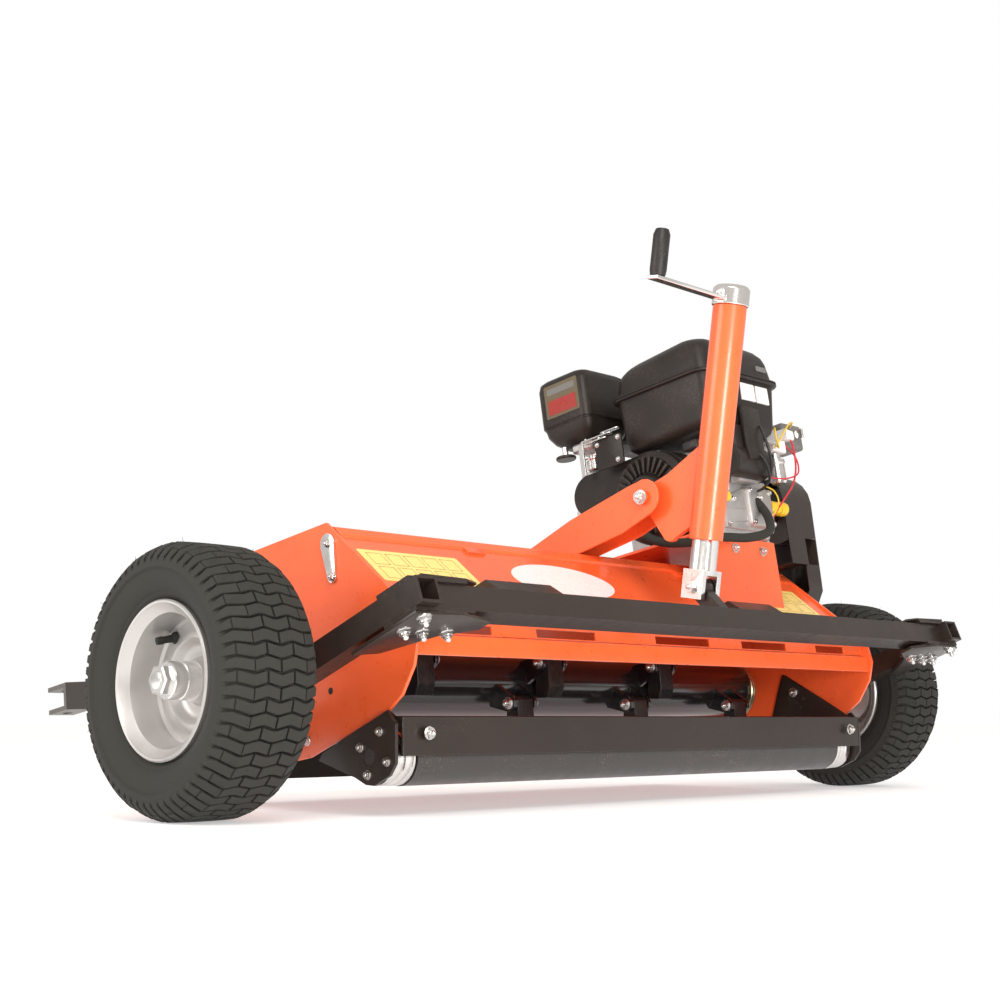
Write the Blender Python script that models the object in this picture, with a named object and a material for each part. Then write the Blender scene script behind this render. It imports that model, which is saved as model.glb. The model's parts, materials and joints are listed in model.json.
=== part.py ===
"""Tow-behind brush mower: a flail deck on two wheels with a screw jack, petrol engine and drawbar.

The machine frame has its origin on the wheel axle line, +X to the belt side, +Y to the hitch and
+Z square to the deck top. The stance empty turns that frame nose down onto the ground.
"""

import math

import bmesh
import bpy
from mathutils import Matrix, Vector

# Clearances
GAP = 0.0003
RUNNING = 0.0005

# Stance and wheels
NOSE_DOWN = math.radians(9.4)
TYRE_RADIUS = 0.2025
TYRE_HALF_WIDTH = 0.081
RIM_RADIUS = 0.1016
AXLE_RADIUS = 0.015
WHEEL_STEPS = 30

# Deck
DECK_HALF_WIDTH = 0.6333
SIDE_THICKNESS = 0.006
SHEET = 0.004
DECK_TOP = 0.246
DECK_RIDGE_Y = -0.043
DECK_REAR_Y = -0.207
DECK_FRONT_Y = 0.398
DECK_FRONT_EDGE = 0.262
SIDE_BOTTOM = -0.109
SLOTS = ((-0.505, 0.100), (-0.280, 0.145), (0.030, 0.155), (0.280, 0.145), (0.505, 0.100))
MUD_FLAP = 0.005

# Places across the machine, counted from the side plates
ARM_X = DECK_HALF_WIDTH + 0.0967
WHEEL_X = ARM_X + 0.140
BELT_X = DECK_HALF_WIDTH + 0.0347

# Rotor and flails
ROTOR_Y = 0.093
ROTOR_Z = 0.021
ROTOR_RADIUS = 0.058
ROTOR_HALF_LENGTH = DECK_HALF_WIDTH - 0.0633
ROTOR_SHAFT = 0.0175
ROTOR_WALL = 0.008
LUG_REACH = 0.095
LUG_HALF_GAP = 0.022
LUG_THICKNESS = 0.008
FLAIL_PITCH = 0.320
FLAIL_ROWS = ((210.0, -0.180), (165.0, -0.420))
FLAIL_LENGTH = 0.062
FLAIL_PIN = 0.006
FLAILS_HANG = math.radians(-90.0) + NOSE_DOWN

# Drums
DISC = 0.008
DRAIN = 0.006

# Roller
ROLLER_Y = -0.097
ROLLER_Z = -0.130
ROLLER_RADIUS = 0.045
ROLLER_HALF_LENGTH = DECK_HALF_WIDTH - 0.0553
ROLLER_SHAFT = 0.0125
ROLLER_WALL = 0.006

# Wheel frame
FRAME_SLOPE = math.radians(12.0)
TUBE = 0.040
TUBE_WALL = 0.004
PLATE = 0.006
AXLE_BLOCK = 0.060
PIVOT_REACH = 0.2096
PIVOT_PIN = 0.012
ARM_REAR = 0.368
ARM_FRONT = 0.240
BEAM_REACH = 0.328
FRAME_DROP = 0.011

# Jack, in its own frame: origin at the clevis pin, Z up the tube, Y forward
JACK_FOOT = (-0.2857, 0.1276)
JACK_LEAN = math.radians(18.05)
JACK_PIN = 0.008
MAST_HALF_WIDTH = 0.030
JACK_PIVOT_Y = 0.1266
JACK_PIVOT_Z = 0.1507
JACK_TUBE_RADIUS = 0.030
JACK_TUBE_BORE = 0.0245
JACK_TUBE_BOTTOM = 0.085
JACK_TUBE_TOP = 0.500
RAM_RADIUS = 0.0235
CRANK_REACH = 0.205

# Engine
CRANK_Y = -0.035
CRANK_Z = 0.385
CRANKSHAFT_RADIUS = 0.0127
FINS = 6
FIN_PITCH = 0.014
ENGINE_BASE_TOP = 0.285
ENGINE_BASE_REAR = -0.138
BELT_HALF_WIDTH = 0.006
BELT_PLAY = 0.0008
ENGINE_PULLEY = 0.055
ROTOR_PULLEY = 0.045
COVER_STANDOFF = 0.0063
COVER_REACH = 0.108
COVER_DECK_GAP = 0.012
COVER_WALL = 0.003
PULLEY_HALF_WIDTH = 0.015

# Hitch
DRAWBAR_X = -0.380
DRAWBAR_Z = 0.185
DRAWBAR_SIZE = 0.060
DRAWBAR_FRONT = 1.150
DRAWBAR_RISE = 0.120
STAND_Y = 0.800
STAND_FOOT = 0.015
STAND_LEG = 0.016
STAND_PLAY = 0.0005
SLEEVE_WALL = 0.0035
SLEEVE_HALF_HEIGHT = 0.050

COLOURS = {
    "orange": ((0.87, 0.14, 0.03), 0.35, 0.0),
    "black": ((0.03, 0.028, 0.027), 0.45, 0.0),
    "steel": ((0.62, 0.61, 0.60), 0.35, 0.9),
    "cast": ((0.45, 0.44, 0.43), 0.55, 0.7),
    "wheel": ((0.55, 0.55, 0.55), 0.40, 0.6),
    "rubber": ((0.02, 0.018, 0.016), 0.85, 0.0),
    "plastic": ((0.022, 0.021, 0.020), 0.50, 0.0),
    "yellow": ((0.80, 0.50, 0.02), 0.50, 0.0),
}


def clear_scene():
    """Remove every object, so that only the mower is left."""
    for item in list(bpy.data.objects):
        bpy.data.objects.remove(item, do_unlink=True)


def empty(name, parent=None, at=(0.0, 0.0, 0.0), tilt=0.0):
    """Add an axis marker at a place in its parent's frame, turned by tilt about X."""
    marker = bpy.data.objects.new(name, None)
    marker.empty_display_size = 0.05
    marker.location = at
    marker.rotation_euler = (tilt, 0.0, 0.0)
    marker.parent = parent
    bpy.context.scene.collection.objects.link(marker)
    return marker


def finish_material(obj, colour):
    """Give the object its own Principled material."""
    base, roughness, metallic = COLOURS[colour]
    material = bpy.data.materials.new(obj.name)
    material.use_nodes = True
    shader = material.node_tree.nodes["Principled BSDF"]
    shader.inputs["Base Color"].default_value = (*base, 1.0)
    shader.inputs["Roughness"].default_value = roughness
    shader.inputs["Metallic"].default_value = metallic
    material.diffuse_color = (*base, 1.0)
    obj.data.materials.append(material)


def solid(name, shape, colour, body, origin=(0.0, 0.0, 0.0)):
    """Turn a bmesh, drawn in the frame that the body's empty sits in, into a named object."""
    bmesh.ops.remove_doubles(shape, verts=shape.verts, dist=1e-6)
    bmesh.ops.recalc_face_normals(shape, faces=shape.faces)
    mesh = bpy.data.meshes.new(name)
    shape.to_mesh(mesh)
    shape.free()
    mesh.shade_smooth()
    mesh.set_sharp_from_angle(angle=math.radians(35.0))
    obj = bpy.data.objects.new(name, mesh)
    bpy.context.scene.collection.objects.link(obj)
    obj.parent = body
    obj.location = -Vector(origin)
    if colour:
        finish_material(obj, colour)
    return obj


def helper(obj, shape, operation):
    """Join a shape to an object, or cut it out, with a Boolean modifier and a hidden tool."""
    tool = solid(f"{obj.name}_tool_{len(obj.modifiers)}", shape, None, obj.parent)
    tool.location = obj.location
    tool.hide_render = True
    tool.display_type = "WIRE"
    modifier = obj.modifiers.new(f"{operation.lower()}_{len(obj.modifiers)}", "BOOLEAN")
    modifier.operation = operation
    modifier.object = tool
    modifier.solver = "EXACT"


def join(obj, *shapes):
    for shape in shapes:
        helper(obj, shape, "UNION")


def cut(obj, *shapes):
    for shape in shapes:
        helper(obj, shape, "DIFFERENCE")


AXES = {"X": (0, 1, 2), "Y": (1, 0, 2), "Z": (2, 0, 1)}


def spread(axis, along, first, second):
    """Place a profile point: along the axis, and at first and second on the two other axes."""
    point = [0.0, 0.0, 0.0]
    for index, value in zip(AXES[axis], (along, first, second)):
        point[index] = value
    return point


def prism(outline, axis, low, high, shape=None):
    """Extrude a closed outline along an axis."""
    shape = shape or bmesh.new()
    rings = [[shape.verts.new(spread(axis, along, *p)) for p in outline] for along in (low, high)]
    shape.faces.new(rings[0])
    shape.faces.new(rings[1])
    count = len(outline)
    for i in range(count):
        j = (i + 1) % count
        shape.faces.new((rings[0][i], rings[0][j], rings[1][j], rings[1][i]))
    return shape


def ring_prism(outer, inner, axis, low, high):
    """Extrude a closed outline with a hole of as many points along an axis."""
    shape = bmesh.new()
    loops = []
    for along in (low, high):
        for outline in (outer, inner):
            loops.append([shape.verts.new(spread(axis, along, *p)) for p in outline])
    count = len(outer)
    for first, second in ((0, 1), (1, 3), (3, 2), (2, 0)):
        for i in range(count):
            j = (i + 1) % count
            shape.faces.new((loops[first][i], loops[first][j], loops[second][j], loops[second][i]))
    return shape


def box(low, high, round_edges=0.0, steps=2):
    """A block between two corners, with its edges rounded if asked."""
    shape = bmesh.new()
    bmesh.ops.create_cube(shape, size=1.0)
    middle = [(a + b) / 2 for a, b in zip(low, high)]
    size = [b - a for a, b in zip(low, high)]
    bmesh.ops.transform(shape, matrix=Matrix.LocRotScale(middle, None, size), verts=shape.verts)
    if round_edges:
        bmesh.ops.bevel(shape, geom=shape.edges[:], offset=round_edges, segments=steps,
                        profile=0.5, affect="EDGES")
    return shape


def turned(profile, axis, centre, segments=32):
    """Turn a closed (along, radius) profile about an axis through centre."""
    shape = bmesh.new()
    rings = []
    for along, radius in profile:
        if radius == 0.0:
            rings.append([shape.verts.new(spread(axis, along, *centre))] * segments)
            continue
        ring = []
        for i in range(segments):
            angle = 2 * math.pi * i / segments
            first = centre[0] + radius * math.cos(angle)
            second = centre[1] + radius * math.sin(angle)
            ring.append(shape.verts.new(spread(axis, along, first, second)))
        rings.append(ring)
    for ring, following in zip(rings, rings[1:] + rings[:1]):
        for i in range(segments):
            j = (i + 1) % segments
            corners = list(dict.fromkeys((ring[i], ring[j], following[j], following[i])))
            if len(corners) > 2:
                shape.faces.new(corners)
    return shape


def rod(axis, centre, radius, low, high, segments=24):
    """A plain cylinder along an axis."""
    profile = ((low, 0.0), (low, radius), (high, radius), (high, 0.0))
    return turned(profile, axis, centre, segments)


def arc(centre, radius, start, end, steps=6):
    """Points along an arc, in degrees."""
    points = []
    for i in range(steps + 1):
        angle = math.radians(start + (end - start) * i / steps)
        points.append((centre[0] + radius * math.cos(angle), centre[1] + radius * math.sin(angle)))
    return points


def around(first, first_radius, second, second_radius, steps=10):
    """The outline of a band wrapped round two circles."""
    gap = math.dist(first, second)
    heading = math.degrees(math.atan2(second[1] - first[1], second[0] - first[0]))
    lean = math.degrees(math.acos((first_radius - second_radius) / gap))
    back = arc(first, first_radius, heading + lean, heading + 360.0 - lean, steps)
    front = arc(second, second_radius, heading - lean, heading + lean, steps)
    return back + front


def turn(point, angle, centre=(0.0, 0.0)):
    """Turn a YZ point about a centre."""
    y = point[0] - centre[0]
    z = point[1] - centre[1]
    cosine = math.cos(angle)
    sine = math.sin(angle)
    return (centre[0] + y * cosine - z * sine, centre[1] + y * sine + z * cosine)


def strip(points, thickness):
    """The outline of a bent sheet whose outer face follows the points, walls to the inside."""
    inner = []
    for i, point in enumerate(points):
        before = Vector(points[max(i - 1, 0)])
        after = Vector(points[min(i + 1, len(points) - 1)])
        here = Vector(point)
        first = (here - before).normalized() if i else (after - here).normalized()
        second = (after - here).normalized() if i < len(points) - 1 else first
        normal = Vector((first.y + second.y, -first.x - second.x)).normalized()
        width = thickness / max(normal.dot(Vector((second.y, -second.x))), 0.3)
        inner.append(tuple(here + normal * width))
    return list(points) + inner[::-1]


def slope_point(reach, rise=0.0):
    """A YZ point at a distance behind the axle along the wheel arms, and above their middle."""
    return turn((-reach, rise), -FRAME_SLOPE)


# ---- deck -------------------------------------------------------------------------------------

DECK_OUTLINE = (
    (DECK_REAR_Y, 0.040),
    (DECK_REAR_Y, 0.074),
    (DECK_RIDGE_Y, DECK_TOP),
    (DECK_FRONT_EDGE, DECK_TOP),
    (DECK_FRONT_Y, 0.122),
    (DECK_FRONT_Y, -0.030),
)
PIVOT_AT = slope_point(-PIVOT_REACH, -FRAME_DROP)


def side_outline():
    """The side plate: flat top, sloped back with a round corner, and a flat bottom."""
    return (
        (-0.041, DECK_TOP + 0.006),
        (DECK_FRONT_EDGE, DECK_TOP + 0.006),
        (DECK_FRONT_Y + 0.006, 0.125),
        (DECK_FRONT_Y + 0.006, -0.070),
        (DECK_FRONT_Y - 0.034, SIDE_BOTTOM),
        (0.050, SIDE_BOTTOM),
        (-0.058, -0.086),
        (-0.143, -0.069),
        (-0.179, -0.049),
        (-0.211, -0.011),
        (-0.224, 0.024),
        (-0.220, 0.059),
        (-0.164, 0.127),
    )


def make_deck(root):
    inner = DECK_HALF_WIDTH - SIDE_THICKNESS - GAP
    shell = solid("deck_shell", prism(strip(DECK_OUTLINE, SHEET), "X", -inner, inner), "orange", root)
    for centre, length in SLOTS:
        low = (centre - length / 2, DECK_REAR_Y - SHEET, 0.042)
        high = (centre + length / 2, DECK_REAR_Y + 2 * SHEET, 0.056)
        cut(shell, box(low, high))
    for side, name in ((-1, "left"), (1, "right")):
        outer = side * DECK_HALF_WIDTH
        inside = side * (DECK_HALF_WIDTH - SIDE_THICKNESS)
        plate = solid(f"side_plate_{name}", prism(side_outline(), "X", inside, outer), "orange", root)
        cut(plate, rod("X", (ROTOR_Y, ROTOR_Z), ROTOR_SHAFT + RUNNING, inside - 0.01, outer + 0.01))
        pin_end = side * (ARM_X + TUBE / 2 + 0.008)
        join(plate, rod("X", PIVOT_AT, PIVOT_PIN, side * (DECK_HALF_WIDTH - 0.003), pin_end))
    lip_front = DECK_REAR_Y - GAP
    lip_rear = lip_front - SIDE_THICKNESS
    lip = ((lip_front, 0.006), (lip_front, 0.039), (lip_rear, 0.036), (lip_rear, 0.006))
    solid("rear_lip", prism(lip, "X", -inner, inner), "orange", root)
    flap = inner - 0.004
    flap_back = DECK_FRONT_Y - SHEET - 0.001
    curtain = box((-flap, flap_back - MUD_FLAP, -0.100), (flap, flap_back, 0.020))
    solid("front_curtain", curtain, "rubber", root)
    scraper = strip(((-0.161, -0.138), (-0.169, -0.080), (-0.140, -0.074)), 0.005)
    solid("scraper_bar", prism(scraper, "X", -inner, inner), "black", root)
    for name, low, high in (("left", -0.425, -0.270), ("right", 0.228, 0.365)):
        step = ((-0.1909, 0.0918), (-0.2080, 0.1164), (-0.1761, 0.1412), (-0.1495, 0.1352))
        solid(f"slope_step_{name}", prism(step, "X", low, high), "black", root)


def shift(points, first, second):
    return [(a + first, b + second) for a, b in points]


# ---- roller and rotor -------------------------------------------------------------------------

def make_roller(root):
    bracket = (
        (-0.165, -0.090), (-0.150, -0.067), (0.010, -0.108), (0.021, -0.118), (-0.062, -0.156),
        (-0.085, -0.170), (-0.104, -0.174), (-0.140, -0.164), (-0.156, -0.148),
    )
    bore = ROLLER_SHAFT + RUNNING
    for side, name in ((-1, "left"), (1, "right")):
        near = side * (DECK_HALF_WIDTH + GAP)
        far = near + side * SIDE_THICKNESS
        plate = solid(f"roller_bracket_{name}", prism(bracket, "X", near, far), "black", root)
        housing = turned(
            ((near + side * 0.001, bore), (near + side * 0.001, 0.030), (near - side * 0.010, 0.036),
             (near - side * 0.040, 0.036), (near - side * 0.040, bore)),
            "X", (ROLLER_Y, ROLLER_Z), 24)
        join(plate, housing)
        cut(plate, rod("X", (ROLLER_Y, ROLLER_Z), bore, near - side * 0.05, far + side * 0.01))
    body = empty("roller_axis", root, (0.0, ROLLER_Y, ROLLER_Z))
    half = ROLLER_HALF_LENGTH
    end = DECK_HALF_WIDTH + SIDE_THICKNESS - 0.001
    profile = ((-end, 0.0), (-end, ROLLER_SHAFT), (-half, ROLLER_SHAFT), (-half, ROLLER_RADIUS),
               (half, ROLLER_RADIUS), (half, ROLLER_SHAFT), (end, ROLLER_SHAFT), (end, 0.0))
    roller = solid("roller", turned(profile, "X", (ROLLER_Y, ROLLER_Z), 32), "black", body,
                   (0.0, ROLLER_Y, ROLLER_Z))
    hollow(roller, (ROLLER_Y, ROLLER_Z), half - DISC, ROLLER_SHAFT + DISC, ROLLER_RADIUS - ROLLER_WALL)


def hollow(obj, centre, half, core, wall):
    """Hollow a drum between its end discs round a solid core, with a drain hole through each disc."""
    space = ((-half, core), (half, core), (half, wall), (-half, wall))
    cut(obj, turned(space, "X", centre, 24))
    drain = ((core + wall) / 2 + centre[0], centre[1])
    for side in (-1, 1):
        ends = sorted((side * (half - DISC), side * (half + 2 * DISC)))
        cut(obj, rod("X", drain, DRAIN, *ends, 12))


def make_rotor(root):
    centre = (ROTOR_Y, ROTOR_Z)
    origin = (0.0, ROTOR_Y, ROTOR_Z)
    body = empty("rotor_axis", root, origin)
    half = ROTOR_HALF_LENGTH
    left = -DECK_HALF_WIDTH - 0.012
    right = BELT_X - PULLEY_HALF_WIDTH - 0.001
    profile = ((left, 0.0), (left, ROTOR_SHAFT), (-half, ROTOR_SHAFT), (-half, ROTOR_RADIUS),
               (half, ROTOR_RADIUS), (half, ROTOR_SHAFT), (right, ROTOR_SHAFT), (right, 0.0))
    rotor = solid("rotor_tube", turned(profile, "X", centre, 24), "black", body, origin)
    hollow(rotor, centre, half - DISC, ROTOR_SHAFT, ROTOR_RADIUS - ROTOR_WALL)
    flail_number = 0
    for angle, start in FLAIL_ROWS:
        for turn_round in (0.0, 180.0):
            direction = math.radians(angle + turn_round)
            pin = (ROTOR_Y + LUG_REACH * math.cos(direction), ROTOR_Z + LUG_REACH * math.sin(direction))
            for step in range(3):
                x = start + step * FLAIL_PITCH
                flail_number += 1
                for side in (-1, 1):
                    near = x + side * LUG_HALF_GAP
                    far = near + side * LUG_THICKNESS
                    join(rotor, prism(lug_outline(centre, direction), "X", near, far))
                pin_half = LUG_HALF_GAP + LUG_THICKNESS / 2
                join(rotor, rod("X", pin, FLAIL_PIN, x - pin_half, x + pin_half, 10))
                make_flail(f"flail_{flail_number:02d}", body, x, pin)
    pulley = pulley_profile(ROTOR_PULLEY, BELT_X, 0.0)
    solid("rotor_pulley", turned(pulley, "X", centre, 32), "cast", body, origin)


def lug_outline(centre, direction):
    """A welded ear from inside the rotor tube out to a round end past the flail pin."""
    outline = [(ROTOR_RADIUS - 0.006, 0.022)]
    outline += arc((LUG_REACH, 0.0), 0.015, 80.0, -80.0, 4)
    outline.append((ROTOR_RADIUS - 0.006, -0.022))
    return shift([turn(p, direction) for p in outline], *centre)


def make_flail(name, rotor, x, pin):
    """A hammer flail that hangs from its pin between two ears of the rotor."""
    origin = (x, *pin)
    body = empty(f"{name}_axis", rotor, (x, pin[0] - ROTOR_Y, pin[1] - ROTOR_Z))
    half = LUG_HALF_GAP - 0.002
    outline = arc((0.0, 0.0), 0.014, 120.0, 240.0, 4)
    outline += [(0.012, -0.014), (FLAIL_LENGTH - 0.02, -0.017), (FLAIL_LENGTH, -0.010)]
    outline += [(FLAIL_LENGTH, 0.014), (FLAIL_LENGTH - 0.02, 0.017), (0.012, 0.014)]
    outline = shift([turn(p, FLAILS_HANG) for p in outline], *pin)
    flail = solid(name, prism(outline, "X", x - half, x + half), "black", body, origin)
    cut(flail, rod("X", pin, FLAIL_PIN + RUNNING, x - half - 0.01, x + half + 0.01, 10))


def pulley_profile(radius, middle, bore):
    """A flanged belt pulley round a bore, which may be zero."""
    flange = radius + 0.007
    floor = radius - GAP
    groove = BELT_HALF_WIDTH + GAP
    low = middle - PULLEY_HALF_WIDTH
    high = middle + PULLEY_HALF_WIDTH
    return ((low, bore), (low, flange), (middle - groove, flange), (middle - groove, floor),
            (middle + groove, floor), (middle + groove, flange), (high, flange), (high, bore))


# ---- wheel frame ------------------------------------------------------------------------------

def square(half):
    return ((-half, -half), (half, -half), (half, half), (-half, half))


def make_wheel_frame(root):
    pivot = (0.0, *PIVOT_AT)
    body = empty("wheel_frame_axis", root, pivot)
    outer = [slope_point(BEAM_REACH + a, b - FRAME_DROP) for a, b in square(TUBE / 2)]
    inner = [slope_point(BEAM_REACH + a, b - FRAME_DROP) for a, b in square(TUBE / 2 - TUBE_WALL)]
    half = ARM_X - TUBE / 2 - GAP
    beam = solid("wheel_beam", ring_prism(outer, inner, "X", -half, half), "black", body, pivot)
    weld = TUBE / 2 - FRAME_DROP - TUBE_WALL / 2
    bracket = [slope_point(BEAM_REACH + 0.014, weld), slope_point(BEAM_REACH - 0.016, weld)]
    bracket += arc(JACK_FOOT, 0.018, -20.0, 200.0, 8)
    join(beam, prism(bracket, "X", -0.0115, 0.0115))
    cut(beam, rod("X", JACK_FOOT, JACK_PIN + RUNNING, -0.02, 0.02, 16))
    for side, name in ((-1, "left"), (1, "right")):
        make_arm(body, pivot, side, name)
        make_wheel(body, pivot, side, name)


def make_arm(body, pivot, side, name):
    """A square tube arm with its stub axle, pivot holes and the plates that clamp the beam."""
    half = TUBE / 2
    wall = half - TUBE_WALL
    middle = side * ARM_X
    outline = arm_stretch(ARM_REAR, -ARM_FRONT, -half, half)
    arm = solid(f"arm_{name}", prism(outline, "X", middle - half, middle + half), "black", body, pivot)
    for start, end in ((ARM_REAR + 0.01, AXLE_BLOCK), (-AXLE_BLOCK, -ARM_FRONT - 0.01)):
        cut(arm, prism(arm_stretch(start, end, -wall, wall), "X", middle - wall, middle + wall))
    cut(arm, rod("X", PIVOT_AT, PIVOT_PIN + RUNNING, middle - TUBE, middle + TUBE))
    join(arm, rod("X", (0.0, 0.0), AXLE_RADIUS, middle, side * (WHEEL_X + 0.034)))
    inboard = middle - side * (half + 0.075)
    outboard = middle + side * half
    for edge in (-1, 1):
        near = edge * (half + GAP)
        far = edge * (half + PLATE)
        clamp = arm_stretch(BEAM_REACH + 0.026, BEAM_REACH - 0.045, near, far)
        join(arm, prism(clamp, "X", inboard, outboard))
        pad = arm_stretch(BEAM_REACH + 0.020, BEAM_REACH - 0.040, near - edge * 0.001, far - edge * 0.001)
        join(arm, prism(pad, "X", middle - wall, middle + wall))


def arm_stretch(start, end, low, high):
    """A YZ rectangle along the wheel arms, from start to end behind the axle, about their middle."""
    return [slope_point(reach, rise - FRAME_DROP) for reach, rise in
            ((start, high), (start, low), (end, low), (end, high))]


def make_wheel(frame, pivot, side, name):
    """A deep-dish rim with a capped hub, and an open-sided tyre carcass on it."""
    body = empty(f"wheel_axis_{name}", frame, (side * WHEEL_X, -pivot[1], -pivot[2]))
    origin = (side * WHEEL_X, 0.0, 0.0)
    bore = AXLE_RADIUS + RUNNING
    seat = RIM_RADIUS - GAP
    rim = (
        (-0.050, bore), (0.036, bore), (0.036, 0.0), (0.062, 0.0), (0.060, 0.016), (0.046, 0.022),
        (0.046, 0.034), (0.000, 0.036), (-0.006, 0.060), (0.006, 0.072), (0.004, 0.090),
        (0.050, 0.0965), (0.062, 0.112), (0.066, 0.1175), (0.058, 0.1165), (0.055, seat),
        (-0.055, seat), (-0.058, 0.1165), (-0.066, 0.1175), (-0.062, 0.112), (-0.050, 0.0965),
        (-0.004, 0.090), (-0.002, 0.074), (-0.014, 0.060), (-0.012, 0.034), (-0.050, 0.030),
    )
    profile = [(side * (WHEEL_X + along), radius) for along, radius in rim]
    solid(f"rim_{name}", turned(profile, "X", (0.0, 0.0), WHEEL_STEPS), "wheel", body, origin)
    half = TYRE_HALF_WIDTH
    outer = [(0.0545, RIM_RADIUS), (0.0575, 0.119), (half - 0.008, 0.130), (half, 0.155),
             (half - 0.004, 0.182), (half - 0.030, TYRE_RADIUS)]
    inside = [(half - 0.040, TYRE_RADIUS - 0.012), (half - 0.014, 0.165), (half - 0.018, 0.136),
              (0.045, RIM_RADIUS)]
    profile = outer + mirrored(outer) + mirrored(inside) + inside
    profile = [(side * (WHEEL_X + along), radius) for along, radius in profile]
    solid(f"tyre_{name}", turned(profile, "X", (0.0, 0.0), WHEEL_STEPS), "rubber", body, origin)


def mirrored(profile):
    """The same profile on the other side of the wheel's middle, in the opposite order."""
    return [(-along, radius) for along, radius in reversed(profile)]


# ---- jack -------------------------------------------------------------------------------------

def make_mast(root):
    """The folded channel that carries the jack, welded across the deck ridge."""
    tip = jack_pivot_at()
    outline = [(0.125, DECK_TOP + GAP), (0.095, 0.281), (-0.030, 0.314), (-0.180, 0.340)]
    outline += arc(tip, 0.034, 70.0, 250.0, 8)
    outline += [(-0.150, DECK_TOP + 0.012), (DECK_RIDGE_Y, DECK_TOP + GAP)]
    half = MAST_HALF_WIDTH
    mast = solid("mast_arm", prism(outline, "X", -half, half), "orange", root)
    under = [(0.112, 0.200), (0.088, 0.276), (-0.030, 0.309), (-0.140, 0.328), (-0.140, 0.200)]
    wall = half - 0.005
    cut(mast, prism(under, "X", -wall, wall))
    cut(mast, box((-wall, -0.300, 0.200), (wall, -0.138, 0.400)))
    cut(mast, rod("X", tip, JACK_PIN + RUNNING, -0.05, 0.05, 16))


def jack_pivot_at():
    y, z = turn((JACK_PIVOT_Y, JACK_PIVOT_Z), JACK_LEAN)
    return (JACK_FOOT[0] + y, JACK_FOOT[1] + z)


def make_jack(root):
    pivot = jack_pivot_at()
    tube_body = empty("jack_tilt_axis", root, (0.0, *pivot), JACK_LEAN)
    origin = (0.0, JACK_PIVOT_Y, JACK_PIVOT_Z)
    bottom = JACK_TUBE_BOTTOM
    top = JACK_TUBE_TOP
    profile = ((bottom, JACK_TUBE_BORE), (top, JACK_TUBE_BORE), (top, JACK_TUBE_RADIUS),
               (bottom, JACK_TUBE_RADIUS))
    tube = solid("jack_tube", turned(profile, "Z", (0.0, 0.0), 28), "orange", tube_body, origin)
    wall = (JACK_TUBE_BORE + JACK_TUBE_RADIUS) / 2
    lug = [(wall, 0.255), (0.098, 0.197)]
    lug += arc((JACK_PIVOT_Y, JACK_PIVOT_Z), 0.028, 80.0, -80.0, 6)
    lug += arc((0.078, 0.094), 0.018, -30.0, -150.0, 4)
    lug += [(wall, 0.110)]
    join(tube, prism(lug, "X", -0.006, 0.006))
    bolt = MAST_HALF_WIDTH + GAP
    bolt_end = bolt + 0.0077
    head = 0.012
    profile = ((-bolt_end, 0.0), (-bolt_end, head), (-bolt, head), (-bolt, JACK_PIN),
               (bolt, JACK_PIN), (bolt, head), (bolt_end, head), (bolt_end, 0.0))
    join(tube, turned(profile, "X", (JACK_PIVOT_Y, JACK_PIVOT_Z), 16))
    ram_body = empty("jack_slide_axis", tube_body, (0.0, -JACK_PIVOT_Y, -JACK_PIVOT_Z))
    ram_profile = ((0.022, 0.0), (0.022, RAM_RADIUS), (0.320, RAM_RADIUS), (0.320, 0.0))
    ram = solid("jack_ram", turned(ram_profile, "Z", (0.0, 0.0), 24), "steel", ram_body)
    join(ram, box((-0.0265, -0.022, -0.020), (0.0265, 0.022, 0.032)))
    cut(ram, box((-0.0155, -0.050, -0.050), (0.0155, 0.050, 0.0225)))
    for side in (-1, 1):
        join(ram, rod("X", (0.0, 0.0), 0.011, side * 0.025, side * 0.034, 6))
    crank_body = empty("crank_axis", tube_body, (0.0, -JACK_PIVOT_Y, -JACK_PIVOT_Z))
    cap = ((top + GAP, 0.0), (top + GAP, 0.033), (top + 0.030, 0.033), (top + 0.036, 0.028),
           (top + 0.036, 0.0))
    crank = solid("crank_arm", turned(cap, "Z", (0.0, 0.0), 24), "steel", crank_body)
    join(crank, box((-CRANK_REACH - 0.014, -0.0125, top + 0.006), (0.0, 0.0125, top + 0.013)))
    join(crank, rod("Z", (-CRANK_REACH, 0.0), 0.005, top + 0.010, top + 0.085, 12))
    grip_body = empty("grip_axis", crank_body, (-CRANK_REACH, 0.0, 0.0))
    low = top + 0.013 + GAP
    bore = 0.005 + RUNNING
    grip = ((low, bore), (low, 0.013), (low + 0.010, 0.0145), (low + 0.070, 0.0145),
            (low + 0.080, 0.011), (low + 0.080, 0.0), (low + 0.074, 0.0), (low + 0.074, bore))
    origin = (-CRANK_REACH, 0.0, 0.0)
    solid("crank_grip", turned(grip, "Z", origin[:2], 20), "plastic", grip_body, origin)


# ---- engine -----------------------------------------------------------------------------------

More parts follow.
